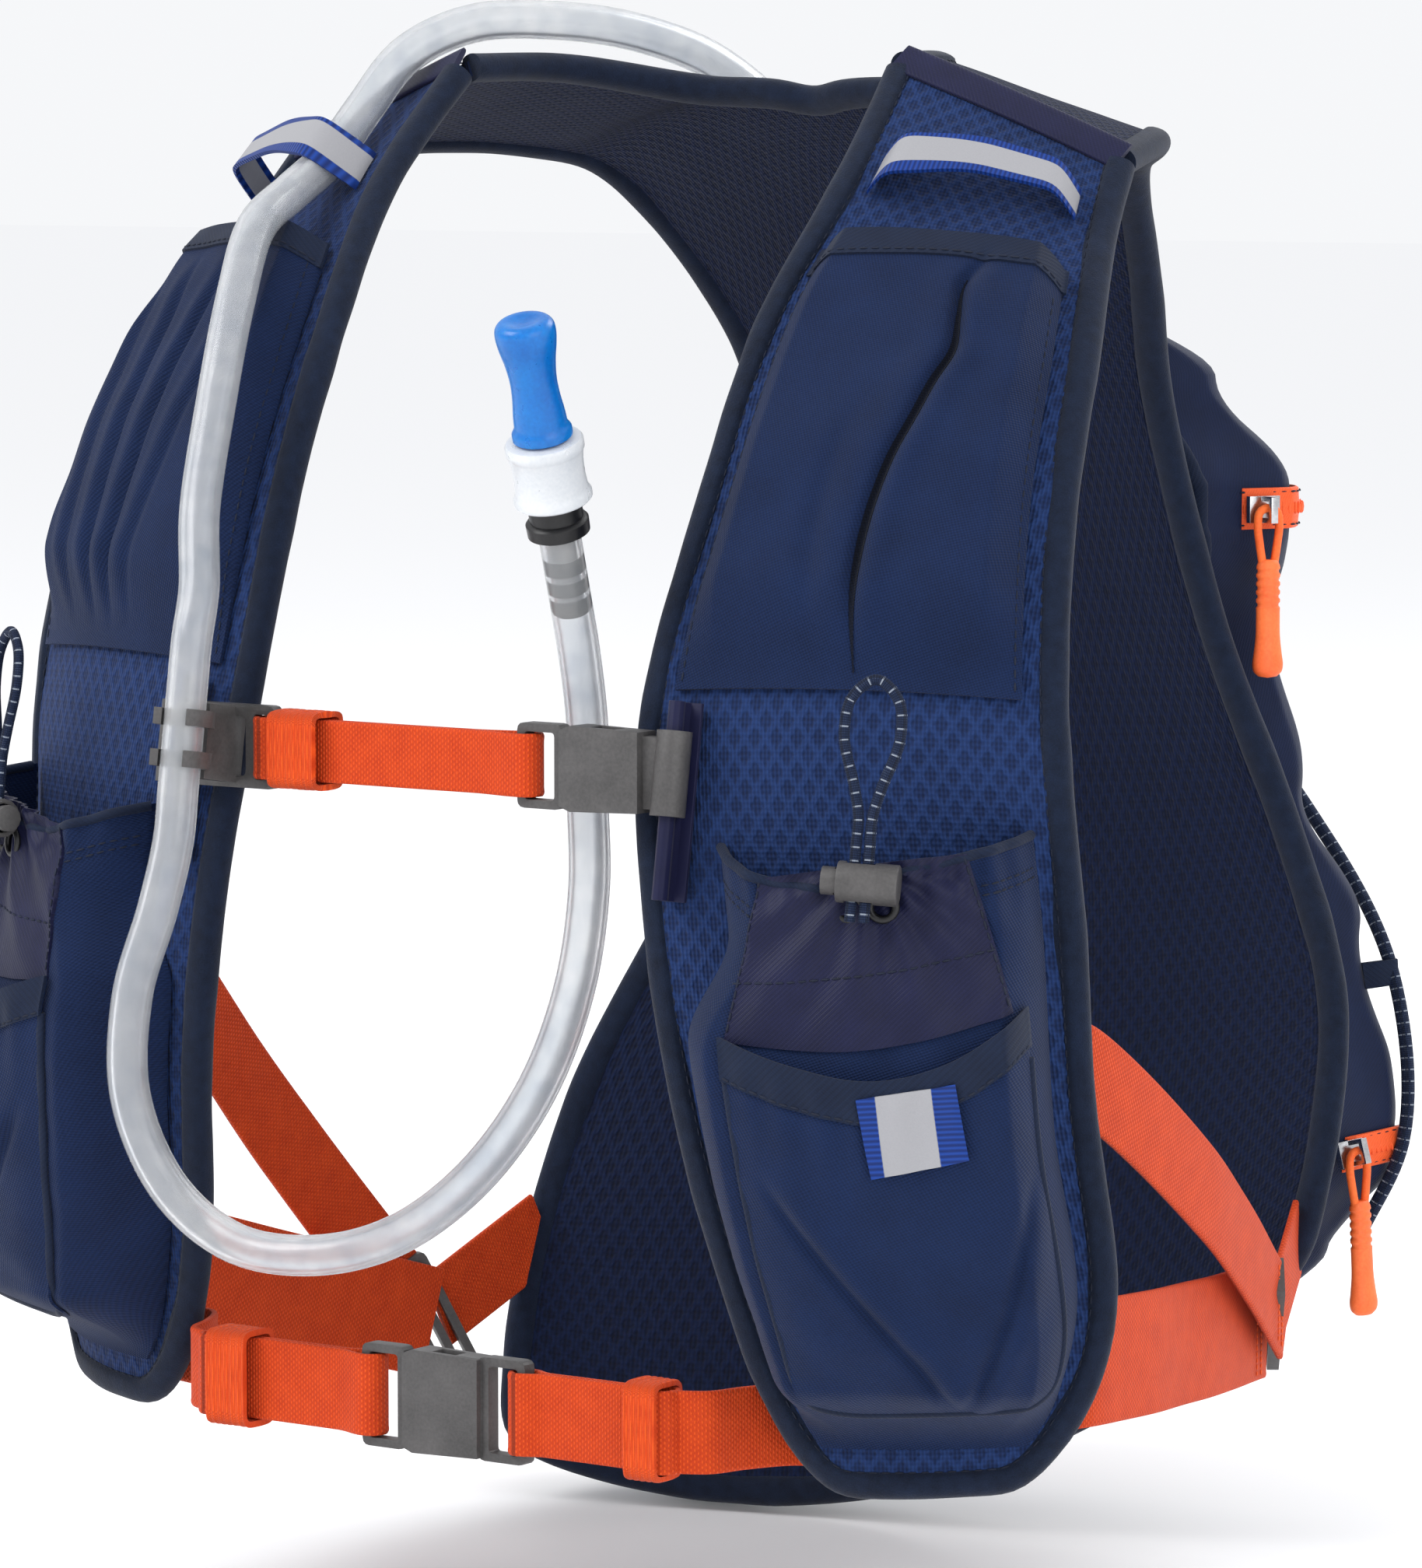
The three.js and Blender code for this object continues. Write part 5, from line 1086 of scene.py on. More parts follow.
def small_pocket(side, word):
    below = bottle_height(side)
    def h(u, v):
        k = np.clip((u - SMALL_MIDDLE) / SMALL_HALF, -1, 1)
        t = np.clip((v - small_mouth(k)) / (0.93 - small_mouth(k)), 0, 1)
        x, y = u * front_width(v) / 2, v * L
        out = 4.2 * (1 - k ** 4) * ease(0, 0.28, 1 - t)
        pucker = np.sin(x * 2 * np.pi / 7.1 + 0.9 * side) * np.exp(-t / 0.16)
        out = out + 0.7 * pucker * (1 - k ** 6) * ease(0, 0.07, t)
        for a, b in (((-0.38, 0.765), (0.22, 0.928)), ((0.63, 0.765), (0.25, 0.928))):
            p, q = np.array(a) * [CREASE_SCALE, L], np.array(b) * [CREASE_SCALE, L]
            length = np.linalg.norm(q - p)
            d = (q - p) / length
            rx, ry = u * CREASE_SCALE - p[0], y - p[1]
            run, off = rx * d[0] + ry * d[1], rx * d[1] - ry * d[0]
            on = ease(-4, 12, run) * ease(length + 3, length - 6, run)
            out = out + on * (groove(off, 2.0, 1.5) + groove(off - 3.6, -1.1, 2.6))
        out = out + 0.5 * hills(x, y, 3 * side, 10) * (1 - k ** 6)
        return below(u, v) + 1.4 + np.maximum(out, 0.1)
    across = lambda k: SMALL_MIDDLE + SMALL_HALF * k
    foot = lambda k: 0.016 * np.abs(k) ** 5 + 0.006 * k
    def place(s, t):
        k = 2 * s - 1
        return across(k), mix(small_mouth(k), 0.931 - foot(k), t)
    piece = patch("small_stretch_pocket_" + word, side, place, lambda u, v: h(u, v) + 0.9, h, (62, 90), 0.6)
    finished(piece, PAINT["stretch"], nodes=["small_pocket_" + word])
    def tape_place(s, t):
        k = (2 * s - 1) * 1.02
        return across(k), small_mouth(np.clip(k, -1, 1)) - 0.003 + t * 9.2 / L
    tape = patch("small_pocket_tape_" + word, side, tape_place, lambda u, v: h(u, v) + 1.7,
                 lambda u, v: h(u, v) + 0.8, (62, 9.5), 0.65)
    finished(tape, PAINT["pocket_tape"])
    k = np.linspace(-0.98, 0.98, 60)
    sew_front(across(k), small_mouth(k) + 7.4 / L, lambda u, v: h(u, v) + 1.8, side, 2.6)
    edge = np.concatenate([np.stack([np.full(40, -0.47), np.linspace(0.71, 0.90, 40)], -1),
                           np.stack([across(k), 0.926 - foot(k)], -1),
                           np.stack([np.full(40, 0.66), np.linspace(0.89, 0.70, 40)], -1)])
    points, ups = on_front(edge, lambda u, v: below(u, v) + 1.6, side)
    seam = swept("small_pocket_seam_" + word, softened(points, 4), ups, oval(2.6, 2.0, 10), smooth=70)
    finished(seam, PAINT["pocket_tape"])
    tab_place = lambda s, t: (mix(0.02, 0.37, s) + 0.02 * t, mix(0.719, 0.7105, s) + t * 16 / L)
    tab = patch("small_pocket_tab_" + word, side, tab_place, lambda u, v: h(u, v) + 2.5,
                lambda u, v: h(u, v) + 1.6, (17, 16), 0.6)
    remapped(tab, lambda uv: uv - [uv[:, 0].min(), 0])
    finished(tab, PAINT["tab"])


thread = Thread()
for side, word in SIDES:
    front_panel(side, word)
    reflective_loop(side, word, 9 if side > 0 else 14.3)
    upper_pocket(side, word)
    bottle_pocket(side, word)
    small_pocket(side, word)

# ------------------------------------------------------------------ back panel, its edges and shoulder seams
BL = BACK_LENGTH


def back_panel():
    columns, split = 34, 33
    v = np.concatenate([np.linspace(SEAM_GAP / BL, NECK, split + 1)[:-1], np.linspace(NECK, 1 - PANEL_IN / BL, 110)])
    vv, ss = np.meshgrid(v, np.linspace(1, 0, columns + 1), indexing="ij")
    width = back_outer_u(vv, PANEL_IN)
    start = np.where(vv < NECK - TOUCH, 1 - back_outer_u(vv, BAND_IN), 0)
    u = mix(start, width, ss)
    lower = vv + 0.011 * (1 - ss) ** 4 * np.exp(-((vv - NECK) / 0.02) ** 2) * (vv >= NECK - TOUCH)
    sink = 0.3 * hills(u * 80, lower * BL, 0, 18)
    top, low = back(u, lower, sink), back(u, lower, sink - PANEL_THICK)
    uv = np.stack([u * 90, lower * BL], -1)
    rows, n = len(v), columns + 1
    points, faces, coords = [], [], []
    for sign in (1, -1):
        start = sum(len(p) for p in points)
        points += [sided(top, sign).reshape(-1, 3), sided(low, sign).reshape(-1, 3)]
        coords += [(uv * [sign, 1]).reshape(-1, 2)] * 2
        half = grid_faces(rows, n, start) + [f[::-1] for f in grid_faces(rows, n, start + rows * n)]
        rim = [(j * n, (j + 1) * n) for j in range(rows - 1)]
        rim += [((j + 1) * n + columns, j * n + columns) for j in range(split)]
        rim += [(i + 1, i) for i in range(columns)]
        rim += [((rows - 1) * n + i, (rows - 1) * n + i + 1) for i in range(columns)]
        half += [[start + b, start + a, start + a + rows * n, start + b + rows * n] for a, b in rim]
        faces += [f[::-1] for f in half] if sign < 0 else half
    piece = mesh_object("back_mesh_panel", hang(np.vstack(points)), faces, np.vstack(coords), 50)
    edited(piece.data, weld, lambda bm: bmesh.ops.recalc_face_normals(bm, faces=bm.faces))
    finished(piece, PAINT["lining"], nodes=["back_panel"])


def band(name, node, points, ups, seam_turn):
    full = evenly(np.hstack([softened(points, 5), unit(ups)]), step=2.4)
    points, ups = full[:, :3], unit(full[:, 3:])
    piece = swept(name, points, ups, padded_section(seam_turn, len(points), 8.0), smooth=70)
    finished(piece, PAINT["binding"], nodes=[node])
    across = unit(np.cross(unit(np.gradient(points, axis=0)), ups))
    c, s = math.cos(seam_turn), math.sin(seam_turn)
    thread.sew(points + across * 3.9 * c * 0.98 + ups * 3.3 * s, ups, 3.1)


back_panel()
v1 = 1 - 4.4 / BL
v = np.linspace(SEAM_GAP / BL, v1, 120)
u = back_outer_u(v, BAND_IN)
edge = np.concatenate([np.stack([u, v], -1), np.stack([np.linspace(1, 0, 30)[1:] * u[-1], np.full(29, v1)], -1)])
left, raised = back(edge[:, 0], edge[:, 1], -2.0), back(edge[:, 0], edge[:, 1], 0.0)
points = np.concatenate([left, sided(left, -1)[::-1][1:]])
ups = np.concatenate([raised - left, sided(raised - left, -1)[::-1][1:]])
band("back_padded_binding", "back_binding", hang(points), hang(points + ups) - hang(points), 2.35)
share = np.linspace(0, 1, 40)
line = through(BACK_INNER, mix(SEAM_GAP / BL, NECK, share))
line[-1, 0] = 0
rise = mix(np.array([0.37, 0, 0.93]), np.array([0, 0.67, 0.74]), share[:, None])
line = np.concatenate([line, sided(line, -1)[::-1][1:]])
rise = unit(np.concatenate([rise, sided(rise, -1)[::-1][1:]]))
outward = unit(np.cross(unit(np.gradient(line, axis=0)), rise))
outward = outward * np.sign(outward[0, 0])
band("neck_padded_binding", "neck_binding", line + outward * 4 - rise * 2, rise, 0.8)

for side, word in SIDES:
    across = np.linspace(0, 1, 40) * 1.84 - 0.92
    a, b = front(across, 0.002), front(across, 0.002, 1.0)
    ups = sided(b, side) - sided(a, side)
    piece = swept("shoulder_seam_tape_" + word, sided(a + (b - a) * 0.5, side), ups, oval(8.6, 1.6, 20, 4), smooth=60)
    finished(piece, PAINT["tape"])

# ------------------------------------------------------------------ pack
HALF_WIDTH = [(-60, 44), (-85, 65), (-112, 77), (-126, 77), (-150, 71), (-200, 80), (-245, 98), (-311, 117),
              (-325, 117), (-346, 106), (-368, 84)]
REAR = [(-60, 137), (-85, 162), (-112, 181), (-126, 181), (-150, 182), (-200, 192), (-245, 197), (-311, 197),
        (-325, 197), (-346, 184), (-368, 158)]
UPPER_ZIP, LOWER_ZIP = -119, -318
PACK_TOP, PACK_FOOT = -60, -368
CORNER, SHELL_IN = 14, 12       # the wall's corner radius, and how far its mouth lies in from its side
ZIP_FLAT = 7                    # the wall is upright this far above and below a zip
PACK_WALL = 1.5


def level(table, z):
    zs = [a for a, _ in table]
    i = 0
    while i < len(table) - 2 and z < zs[i + 1]:
        i += 1
    t = min(max((z - zs[i]) / (zs[i + 1] - zs[i]), 0), 1)
    return mix(table[i][1], table[i + 1][1], t * t * (3 - 2 * t))


def back_y(x, z):
    """Depth of the back panel's rear face, by halving."""
    x, z = np.broadcast_arrays(np.asarray(x, float), np.asarray(z, float))
    a, b = np.full(x.shape, NECK), np.ones(x.shape)
    for _ in range(26):
        v = (a + b) / 2
        u = np.minimum(np.abs(x) / through(BACK_OUTER, v)[..., 0], 1)
        higher = back_base(u, v)[..., 2] > z
        a, b = np.where(higher, v, a), np.where(higher, b, v)
    return back_base(np.minimum(np.abs(x) / through(BACK_OUTER, a)[..., 0], 1), a)[..., 1]


def pack_outline(z, offset):
    for h in (UPPER_ZIP, LOWER_ZIP):
        if abs(z - h) <= ZIP_FLAT:
            z = h
    hx, rear = level(HALF_WIDTH, z) + offset, level(REAR, z) + offset
    mouth_x = hx - SHELL_IN - offset
    mouth_y = float(back_y(min(mouth_x, float(through(BACK_OUTER, np.array(0.5))[0])), z)) + 5
    r = min(CORNER, (rear - mouth_y) * 0.6)
    turn = [(hx - r + r * math.sin(a), rear - r + r * math.cos(a)) for a in np.linspace(0, math.pi / 2, 13)]
    return np.array([(0, rear)] + turn + [(mouth_x, mouth_y)])


def pack_rows(s, heights, offset):
    """Points of the pack's wall at shares s (-1 to 1) for each height, before it hangs."""
    rows = []
    for z in heights:
        line = pack_outline(z, offset)
        run = run_of(line)
        k = np.abs(s) * run[-1]
        rows.append(np.stack([np.sign(s) * np.interp(k, run, line[:, 0]), np.interp(k, run, line[:, 1]),
                              np.full_like(k, z)], -1))
    return np.array(rows)


s = np.linspace(-1, 1, 190)
heights = np.linspace(PACK_TOP, PACK_FOOT, 156)
wall = pack_rows(s, heights, 0.0)
outward = unit(wall - pack_rows(s, heights, -1.6))
calm = 1 - np.maximum(bump(heights, UPPER_ZIP, 13), bump(heights, LOWER_ZIP, 13))[:, None]
slack = 1.1 * ripple(wall * [1, 1, 0.7], 24) + 0.7 * ripple(wall * [1, 1, 0.5], 11) \
    + 1.0 * np.sin(wall[..., 0] / 5 + 2 * ripple(wall, 30)) * (bump(heights, UPPER_ZIP - 17, 12)
                                                             + bump(heights, LOWER_ZIP - 17, 12))[:, None]
rim = 1 - np.abs(s)[None] ** 14
wall = wall + outward * (slack * calm * rim)[..., None]
uv = np.stack(np.broadcast_arrays(s[None] * 190, heights[:, None]), -1)
pack = cloth("rear_pack_cloth", hang(wall), hang(wall - outward * PACK_WALL), uv)
finished(pack, PAINT["pack"], nodes=["pack_shell"])
for k in (-1, 1):
    mouth_line = pack_rows(np.array([k * 0.999]), np.linspace(PACK_TOP - 6, PACK_FOOT + 4, 110), 0.0)[:, 0]
    ups = np.tile([k * 0.4, -1.0, 0], (110, 1))
    piece = swept("pack_mouth_binding_%s" % ("left" if k > 0 else "right"), hang(mouth_line), ups,
                  oval(4.5, 3.0, 14, 2.6), smooth=70)
    finished(piece, PAINT["pocket_tape"])
top_line = pack_rows(np.linspace(-0.97, 0.97, 110), [PACK_TOP - 0.5], -0.8)[0]
finished(swept("pack_top_hem", hang(top_line), np.tile([0, 0, 1.0], (110, 1)), oval(3.4, 3.2, 12), smooth=70),
         PAINT["pocket_tape"])


def sewn_on_pack(line, out, stitches, pitch, across=False):
    stitches.sew(hang(line), hang(line + out) - hang(line), pitch, across)


teeth = Thread()
ZIPS = (("upper", UPPER_ZIP), ("lower", LOWER_ZIP))
for name, height in ZIPS:
    s = np.linspace(-0.885, 0.885, 240)
    levels = height + np.array([5.5, 5.1, 3, 1.9, 1.1, 0.35, -0.35, -1.1, -1.9, -3, -5.1, -5.5])
    proud = np.array([0.3, 0.9, 1.0, 1.1, 1.6, 1.6, 1.6, 1.6, 1.1, 1.0, 0.9, 0.3])
    base, out = pack_rows(s, levels, 0.8), unit(pack_rows(s, levels, 2.0) - pack_rows(s, levels, 0.8))
    uv = np.stack(np.broadcast_arrays(levels[:, None] - height, s[None] * 190), -1)
    tape = cloth("%s_zip_tape" % name, hang(base + out * proud[:, None, None]), hang(base), uv, 60)
    finished(tape, PAINT["zip"], nodes=["%s_zip" % name])
    line = pack_rows(s, [height], 2.0)[0]
    out = unit(pack_rows(s, [height], 3.0)[0] - line)
    sewn_on_pack(line + out * 0.35, out, teeth, 1.9, across=True)
    for drop in (4.4, -4.4):
        sewn_on_pack(pack_rows(s, [height + drop], 1.6)[0] + out * 0.25, out, thread, 3.0)
teeth.piece("zip_teeth", PAINT["zip"], "zip", length=3.4, width=1.15, height=1.0)


def zip_frame(height):
    a, b = pack_rows(np.array([0.985, 0.9]), [height], 2.4)[0]
    along = unit(b - a)
    out = np.array([along[1], -along[0], 0])
    origin = a + along * 16 + out * 0.5
    turn = lambda d: unit(hang(origin + d) - hang(origin))
    return hang(origin), turn(along), turn(out)


for name, height in ZIPS:
    origin, x, y = zip_frame(height)
    refined("%s_zip_slider" % name, "%s_slider_body" % name, PAINT["steel"], "%s_slider" % name, 0.5)
    up = -unit(np.array([0, 0, -1.0]) + x * x[2])
    eye = origin + y * (3 + 1.9)
    side_of = np.cross(up, x)
    loop = [(-1.2, -17), (-2.6, -9), (-3.2, -4), (-2.6, -0.6), (0, 0.5), (2.6, -0.6), (3.2, -4), (2.6, -9),
            (1.2, -17)]
    cord_path = evenly(line_through([eye + x * p + up * q for p, q in loop], 8), step=0.9)
    finished(tube("%s_pull_cord" % name, cord_path, 1.1, 14), PAINT["pull_cord"], "%s_pull" % name,
             ["%s_zip_pull" % name])
    profile = [(0.2, -44)] + arc([(2.6, -43.6), (3.9, -42.4), (4.3, -40.6), (3.9, -37.5), (3.4, -33), (3.3, -27)])
    for ring in range(5):
        profile += [(r, h + ring * 2.2) for r, h in ((3.35, -25.6), (2.95, -25.1), (2.95, -24.6), (3.35, -24.1))]
    profile += [(3.2, -14.5), (2.7, -13.3), (2.2, -13), (0.2, -13)]
    grip = turned("%s_pull_grip" % name, profile, eye, up, 30)
    co = np.array([q.co for q in grip.data.vertices]) / MM
    flat = (co - eye) @ side_of
    grip.data.vertices.foreach_set("co", ((co - flat[:, None] * side_of * 0.28) * MM).ravel())
    finished(grip, PAINT["grip"], "%s_pull" % name)

BUNGEE_STAND = 6.6              # from the pack's wall to the cord's middle
marks = [(-0.76, -346), (-0.78, -318), (-0.74, -262), (-0.6, -216), (-0.4, -182), (0, -168), (0.4, -182),
         (0.6, -216), (0.74, -262), (0.78, -318), (0.76, -346)]
rope = np.array([pack_rows(np.array([k]), [z], BUNGEE_STAND)[0][0] for k, z in marks])
rope = hang(evenly(line_through(rope, 10), step=2.5))
finished(tube("rear_bungee_cord", rope, 1.8, 14), PAINT["bungee"], nodes=["back_bungee"])
for index in (2, 4, 5, 6, 8):
    k, z = marks[index]
    p, q = pack_rows(np.array([k - 0.03, k + 0.03]), [z], 0.8)[0]
    middle = pack_rows(np.array([k]), [z], BUNGEE_STAND)[0][0]
    foot = unit(q - p)
    bridge = [p, mix(p, middle, 0.7) - foot * 1.2, middle + (middle - (p + q) / 2) * 0.16,
              mix(q, middle, 0.7) + foot * 1.2, q]
    path = evenly(line_through(bridge, 8), step=0.9)
    ups = level_ups(path)
    keeper = swept("bungee_keeper_%d" % index, hang(path), ups, oval(7, 0.9, 16, 4), smooth=60)
    finished(keeper, PAINT["pocket_tape"])

# ------------------------------------------------------------------ reservoir and inner hose
t, s = np.meshgrid(np.linspace(0, 1, 90), np.linspace(0, 1, 54), indexing="ij")
k, m = 2 * s - 1, 2 * t - 1
x, z = k * 62, mix(-104, -316, t)
y = back_y(x, z) + 1.0
thick = 1 + 11 * np.sqrt(np.maximum((1 - k ** 4) * (1 - m ** 6), 0))
film = 0.6 * hills(x, y, z, 20) * (1 - k ** 8) * (1 - m ** 8)
bag = cloth("reservoir_bag", hang(np.stack([x, y + thick + film, z], -1)), hang(np.stack([x, y, z], -1)),
            np.stack([x, z], -1))
finished(bag, PAINT["reservoir"], nodes=["reservoir"])
face = float(back_y(-20, -292)) + 12.5
port_at = hang(np.array([-20, face, -292]))
port_shape = [(0.2, -2), (8, -2), (8, 3.4), (7.4, 4.0), (6.6, 4.2), (6.2, 5.6), (5.8, 6), (0.2, 6)]
port_axis = hang(np.array([-20, face + 5, -292])) - port_at
finished(turned("reservoir_port", port_shape, port_at, port_axis, 36), PAINT["dark_plastic"])
moulding("reservoir_closure", "reservoir_slide_bar", "vest", 1.2)
inner_route = [(-20, 181, -292), (-22, 186, -276), (-28, 184, -250), (-34, 182, -210), (-36, 178, -170),
               (-36, 171, -135), (-35.5, 165, -114), (-35, 154, -94), EXIT - 11 * EXIT_ALONG,
               EXIT - 0.5 * EXIT_ALONG]
inner = evenly(line_through(hang(np.array(inner_route)), 12), step=3)
finished(tube("reservoir_hose_tube", inner, HOSE_RADIUS, 20, 1.5), PAINT["hose"], nodes=["reservoir_hose"])

# ------------------------------------------------------------------ elastic loops and cord locks
def lock_frame(side):
    k, t = 0.1, 0.04
    high = 0.5 * 2 + 1.2 + float(bottle_swell(np.array(k), np.array(t))) + 4.8 + 1
    v = MOUTH_V + 0.012
    origin = front(0.1, v, high)
    across = front(0.2, v) - front(0.0, v)
    down = unit(np.array([0, -0.15, -1]))
    x = unit(across - down * np.dot(across, down))
    z = -down
    y = np.cross(z, x)
    return [sided(q, side) for q in (origin, x, y, z)]


LOOP = [(-1.6, -9), (-1.6, 0), (-1.6, 9), (-1.6, 15), (-3.2, 22), (-6.4, 33), (-5.4, 42), (0, 46.5), (5.4, 42),
        (6.4, 33), (3.2, 22), (1.6, 15), (1.6, 9), (1.6, 0), (1.6, -9)]
for side, word in SIDES:
    origin, x, y, z = lock_frame(side)
    path = evenly(line_through([origin + x * p + z * q for p, q in LOOP], 10), step=0.9)
    finished(tube("elastic_loop_" + word, path, 1.3, 14), PAINT["bungee"], nodes=["bungee_loop_" + word])
    moulding("cord_lock_body_" + word, "cord_lock_barrel_" + word, "cord_lock_" + word, 0.3)
    moulding("cord_lock_plunger_" + word, "cord_lock_button_" + word, "plunger_" + word, 0.3)
    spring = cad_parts["cord_lock_spring_" + word]
    spring.data.materials.clear()
    spring.data.materials.append(PAINT["steel"])

# ------------------------------------------------------------------ chest and waist straps
CHEST_Y, CHEST_Z = -106.888, -167.934
WAIST_Y, WAIST_Z = -101.0, -324.0
ROOM = 5.2                      # between the two layers of a strap at its bar
THICK = 1.6
BAR = 2.2 + 0.5                 # a buckle's frame wall and the gap inside it


def web_section(width, thickness, count=36):
    """A woven strap's section: flat, with slightly rounder, thicker edges."""
    base = oval(width, thickness, count, 7)
    edge = np.exp(-((np.abs(base[:, 0]) - width / 2 + 0.9) / 0.7) ** 2)
    base[:, 1] *= 1 + 0.22 * edge
    return base


def racetrack(x0, x1, y, z, sag):
    """A strap folded back on itself round a bar at each end, its two layers closer in the middle."""
    r = ROOM / 2 + THICK / 2
    n = max(int((x1 - x0 - 2 * r) / 1.2), 12)
    run = np.linspace(0, 1, n)
    close = r - (r - 0.95) * ease(0, 0.16, run) * ease(0, 0.2, 1 - run)
    xs = mix(x0 + r, x1 - r, run)
    wave = sag * np.sin(np.pi * run) + 0.25 * hills(xs, 0, 0, 14)
    a = np.linspace(-np.pi / 2, np.pi / 2, 12)[1:-1]
    path = [(px, y - c + w, z) for px, c, w in zip(xs, close, wave)]
    path += [(x1 - r + r * math.cos(q), y + r * math.sin(q), z) for q in a]
    path += [(px, y + c + w, z) for px, c, w in zip(xs[::-1], close[::-1], wave[::-1])]
    path += [(x0 + r - r * math.cos(q), y - r * math.sin(q), z) for q in a]
    path = np.array(path)
    ahead = np.roll(path, -1, 0) - np.roll(path, 1, 0)
    return path, np.cross(unit(ahead), [0, 0, 1.0])


def doubled(name, x0, x1, y, z, width, nodes, body, sag=0.0):
    path, ups = racetrack(x0, x1, y, z, sag)
    piece = swept(name, path, ups, web_section(width, THICK), closed=True, smooth=60)
    return finished(piece, PAINT["webbing"], body, nodes)


def strap_keeper(name, x0, x1, y, z, width, node, body):
    sides, room, wall = 64, 0.5, 0.7
    a, b = ROOM / 2 + THICK + room + wall, width / 2 + room + wall
    q = np.arange(sides) * 2 * np.pi / sides
    c, s = np.cos(q), np.sin(q)
    flat = np.zeros(sides)
    ring = np.stack([flat, y + a * np.sign(c) * np.abs(c) ** 0.42, z + b * np.sign(s) * np.abs(s) ** 0.16], -1)
    rows = int((x1 - x0) / 0.55)
    offset = np.linspace(x0, x1, rows)
    shape = np.repeat(ring[None], rows, 0)
    shape[..., 0] = offset[:, None]
    ribs = 0.22 * np.sin((offset - x0) * 2 * np.pi / 1.9)[:, None]
    out = unit(np.stack([flat, ring[:, 1] - y, (ring[:, 2] - z) * 0.5], -1))
    outer = shape + out[None] * (wall + ribs)[..., None]
    inner = shape - out[None] * wall
    flat_uv = np.stack(np.broadcast_arrays(np.arange(sides)[None] * 0.9, offset[:, None]), -1).reshape(-1, 2)
    piece = mesh_object(name, np.vstack([outer.reshape(-1, 3), inner.reshape(-1, 3)]), wall_faces(rows, sides),
                        np.vstack([flat_uv, flat_uv]), 60)
    finished(piece, PAINT["keeper"], body, [node])


CHEST_START, CHEST_END = -45.1 - BAR, 44 - 13 + BAR + THICK + 0.4
chest = doubled("chest_strap_webbing", CHEST_START, CHEST_END, CHEST_Y, CHEST_Z, 15, ["chest_webbing"], "chest_strap")
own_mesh(chest)
strap_keeper("chest_strap_keeper", -41, -27, CHEST_Y, CHEST_Z, 15, "chest_keeper", "chest_keeper")
moulding("chest_buckle_male", "chest_buckle_prongs", "chest_male", 0.45)
moulding("chest_buckle_female", "chest_buckle_housing", "chest_strap", 0.5)
moulding("chest_hook", "chest_hose_hook", "chest_strap", 0.4)
WAIST_LEFT = -7.5 + 23 + 13 - BAR - THICK - 0.4
WAIST_RIGHT = -7.5 - 13 + BAR + THICK + 0.4
WAIST_SIDE = 71
doubled("waist_strap_left", WAIST_LEFT, WAIST_SIDE, WAIST_Y, WAIST_Z, 20, ["waist_webbing_left"], "vest", 0.3)
waist = doubled("waist_strap_right", -WAIST_SIDE, WAIST_RIGHT, WAIST_Y, WAIST_Z, 20, ["waist_webbing_right"], "vest",
                0.3)
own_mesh(waist)
TAIL = [(69.5, -101, -324), (73.5, -99.6, -324), (78, -96.5, -324), (81.5, -87, -324), (88.5, -76, -324),
        (98, -73.5, -324), (118, -68, -324)]
for side, word in SIDES:
    path = sided(evenly(line_through(TAIL, 10), step=1.2), side)
    finished(swept("waist_strap_tail_" + word, path, level_ups(path), web_section(19.8, 1.7)), PAINT["webbing"])
strap_keeper("waist_keeper_band_left", 60, 69, WAIST_Y, WAIST_Z, 20, "waist_keeper_left", "waist_keeper_left")
strap_keeper("waist_keeper_band_right", -66, -54, WAIST_Y, WAIST_Z, 20, "waist_keeper_right", "waist_keeper_right")
moulding("waist_buckle_male", "waist_buckle_prongs", "waist_male", 0.5)
moulding("waist_buckle_female", "waist_buckle_housing", "vest", 0.55)
for word in ("left", "right"):
    refined("chest_rail_" + word, "chest_rail_piping_" + word, PAINT["tape"], "vest", 0.2, 2)

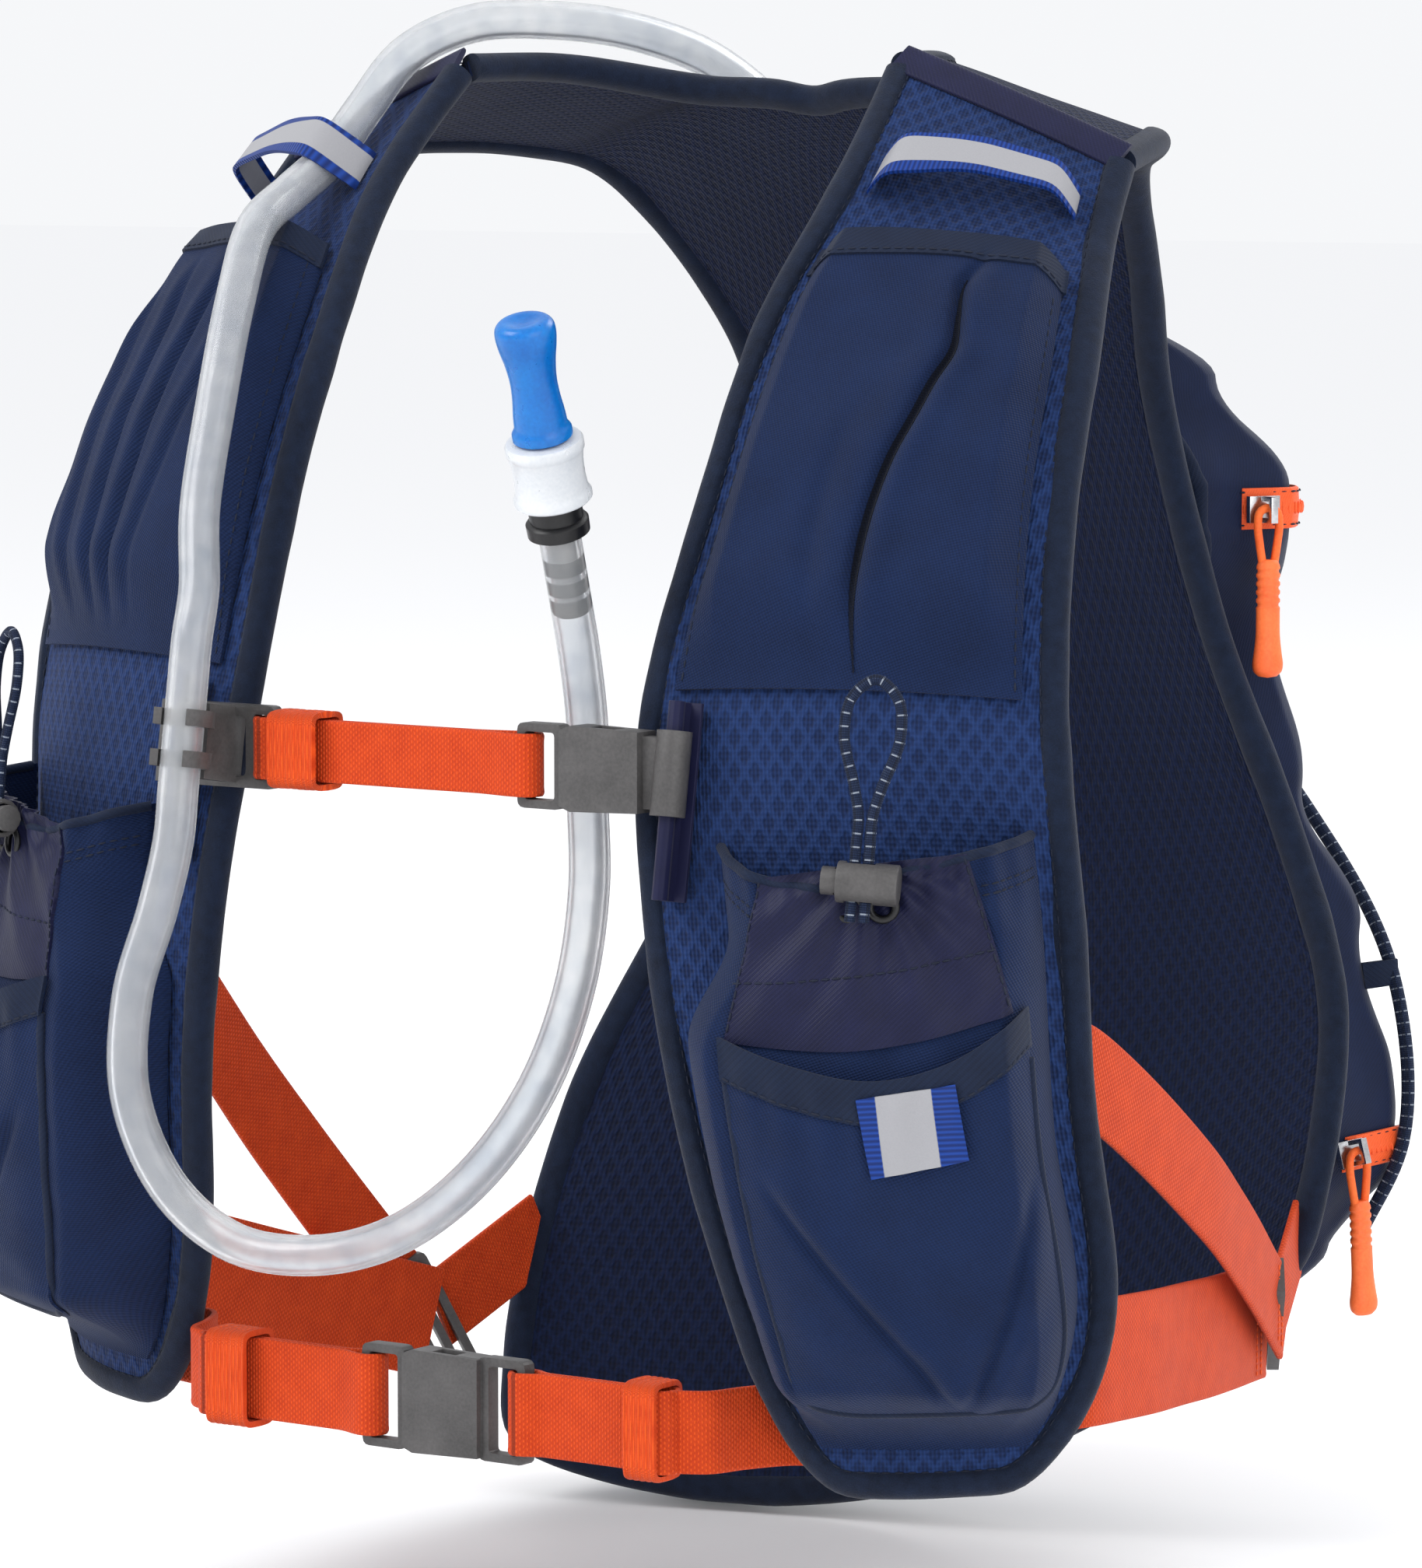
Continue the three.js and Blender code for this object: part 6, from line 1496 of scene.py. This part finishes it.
# ------------------------------------------------------------------ side straps
def side_straps(side, word, place, upper_v, tab_v):
    place = np.array(place, float)
    corner = hang(sided(back(back_outer_u(tab_v, 5), tab_v, -3.0), side))
    along = unit(corner - place)
    start = place - along * 1.5
    rear = place + along * 2.5
    outward = np.array([side, 0, 0.0])
    for name, v, width, bow, lift, short in (("upper", upper_v, 22, 7, 2.9, 0), ("lower", 0.925, 30, 3, -2.6, 1.5)):
        a = sided(front(edge_u(v, 14), v, -12.5), side)
        b = sided(front(edge_u(v, -2), v, -12.5), side)
        c = start + outward * lift - along * short
        path = evenly(through([a, b, mix(b, c, 0.5) + outward * bow, c], np.linspace(0, 1, 80)), step=1.5)
        rows = len(path)
        run = np.linspace(0, 1, rows)
        slack = 0.5 * hills(run * 6, v * 9, 0, 1.0)
        path = path + outward * (slack * np.sin(np.pi * run))[:, None]
        ups = level_ups(path)
        section = np.repeat(web_section(width, THICK)[None], rows, 0)
        cup = 0.9 * np.sin(np.pi * run)[:, None] * (1 - (2 * section[..., 0] / width) ** 2)
        section[..., 1] += cup * 0.6
        piece = swept("side_strap_%s_%s" % (name, word), path, ups, section)
        finished(piece, PAINT["webbing"], nodes=["side_strap_%s_%s" % (name, word)])
        up = unit(ups) * (1 if np.dot(ups[rows // 2], outward) > 0 else -1)
        for q in (3, 5, rows - 9, rows - 6):
            line = path[q] + np.linspace(-width / 2 + 2, width / 2 - 2, 12)[:, None] * np.array([0, 0, 1.0])
            orange.sew(line + up[q] * 1.0, np.tile(up[q], (12, 1)), 1.6)
    moulding("side_slider_" + word, "side_strap_slider_" + word, "vest", 0.45)
    path = evenly(through([rear, mix(rear, corner, 0.5), corner], np.linspace(0, 1, 30)), step=1.2)
    finished(swept("side_tab_strap_" + word, path, level_ups(path), web_section(22, THICK)), PAINT["webbing"],
             nodes=["side_tab_" + word])


orange = Thread()
side_straps(1, "left", (118, 96, -319), 0.725, 0.975)
side_straps(-1, "right", (-137, 78, -342), 0.6, 0.87)
orange.piece("orange_bar_tacks", PAINT["orange_thread"], "webbing", length=1.5, width=0.6, height=0.5)
thread.piece("seam_stitches", PAINT["thread"], "binding")

# Whatever still shows from the CAD gets its finish.
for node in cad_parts.values():
    if not node.hide_render and not node.data.materials:
        node.data.materials.append(PAINT["plastic"])

# ------------------------------------------------------------------ floor and light
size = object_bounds()
low = float(size[0][2])
bpy.ops.mesh.primitive_plane_add(size=30, location=(0, 0, low - 0.002))
floor = bpy.context.object
floor.name = "pale_floor"
ground = bpy.data.materials.new("pale_floor")
ground.use_nodes = True
shade = ground.node_tree.nodes["Principled BSDF"]
shade.inputs["Base Color"].default_value = (0.975, 0.975, 0.98, 1)
shade.inputs["Specular IOR Level"].default_value = 0.0
shade.inputs["Roughness"].default_value = 0.9
floor.data.materials.append(ground)
world = bpy.data.worlds.new("soft_room")
world.use_nodes = True
world.node_tree.nodes["Background"].inputs["Color"].default_value = (0.97, 0.98, 1.0, 1)
world.node_tree.nodes["Background"].inputs["Strength"].default_value = 0.95
bpy.context.scene.world = world
for name, place, power, width in (("key", (-1.0, -1.6, 1.5), 36, 1.3), ("fill", (1.9, -0.9, 0.5), 15, 1.6),
                                  ("rim", (0.6, 1.8, 1.4), 20, 1.2)):
    data = bpy.data.lights.new(name, "AREA")
    data.energy, data.size = power, width
    lamp = bpy.data.objects.new(name, data)
    bpy.context.collection.objects.link(lamp)
    lamp.location = place
    lamp.rotation_euler = (Vector(AIM * MM) - Vector(place)).to_track_quat("-Z", "Y").to_euler()
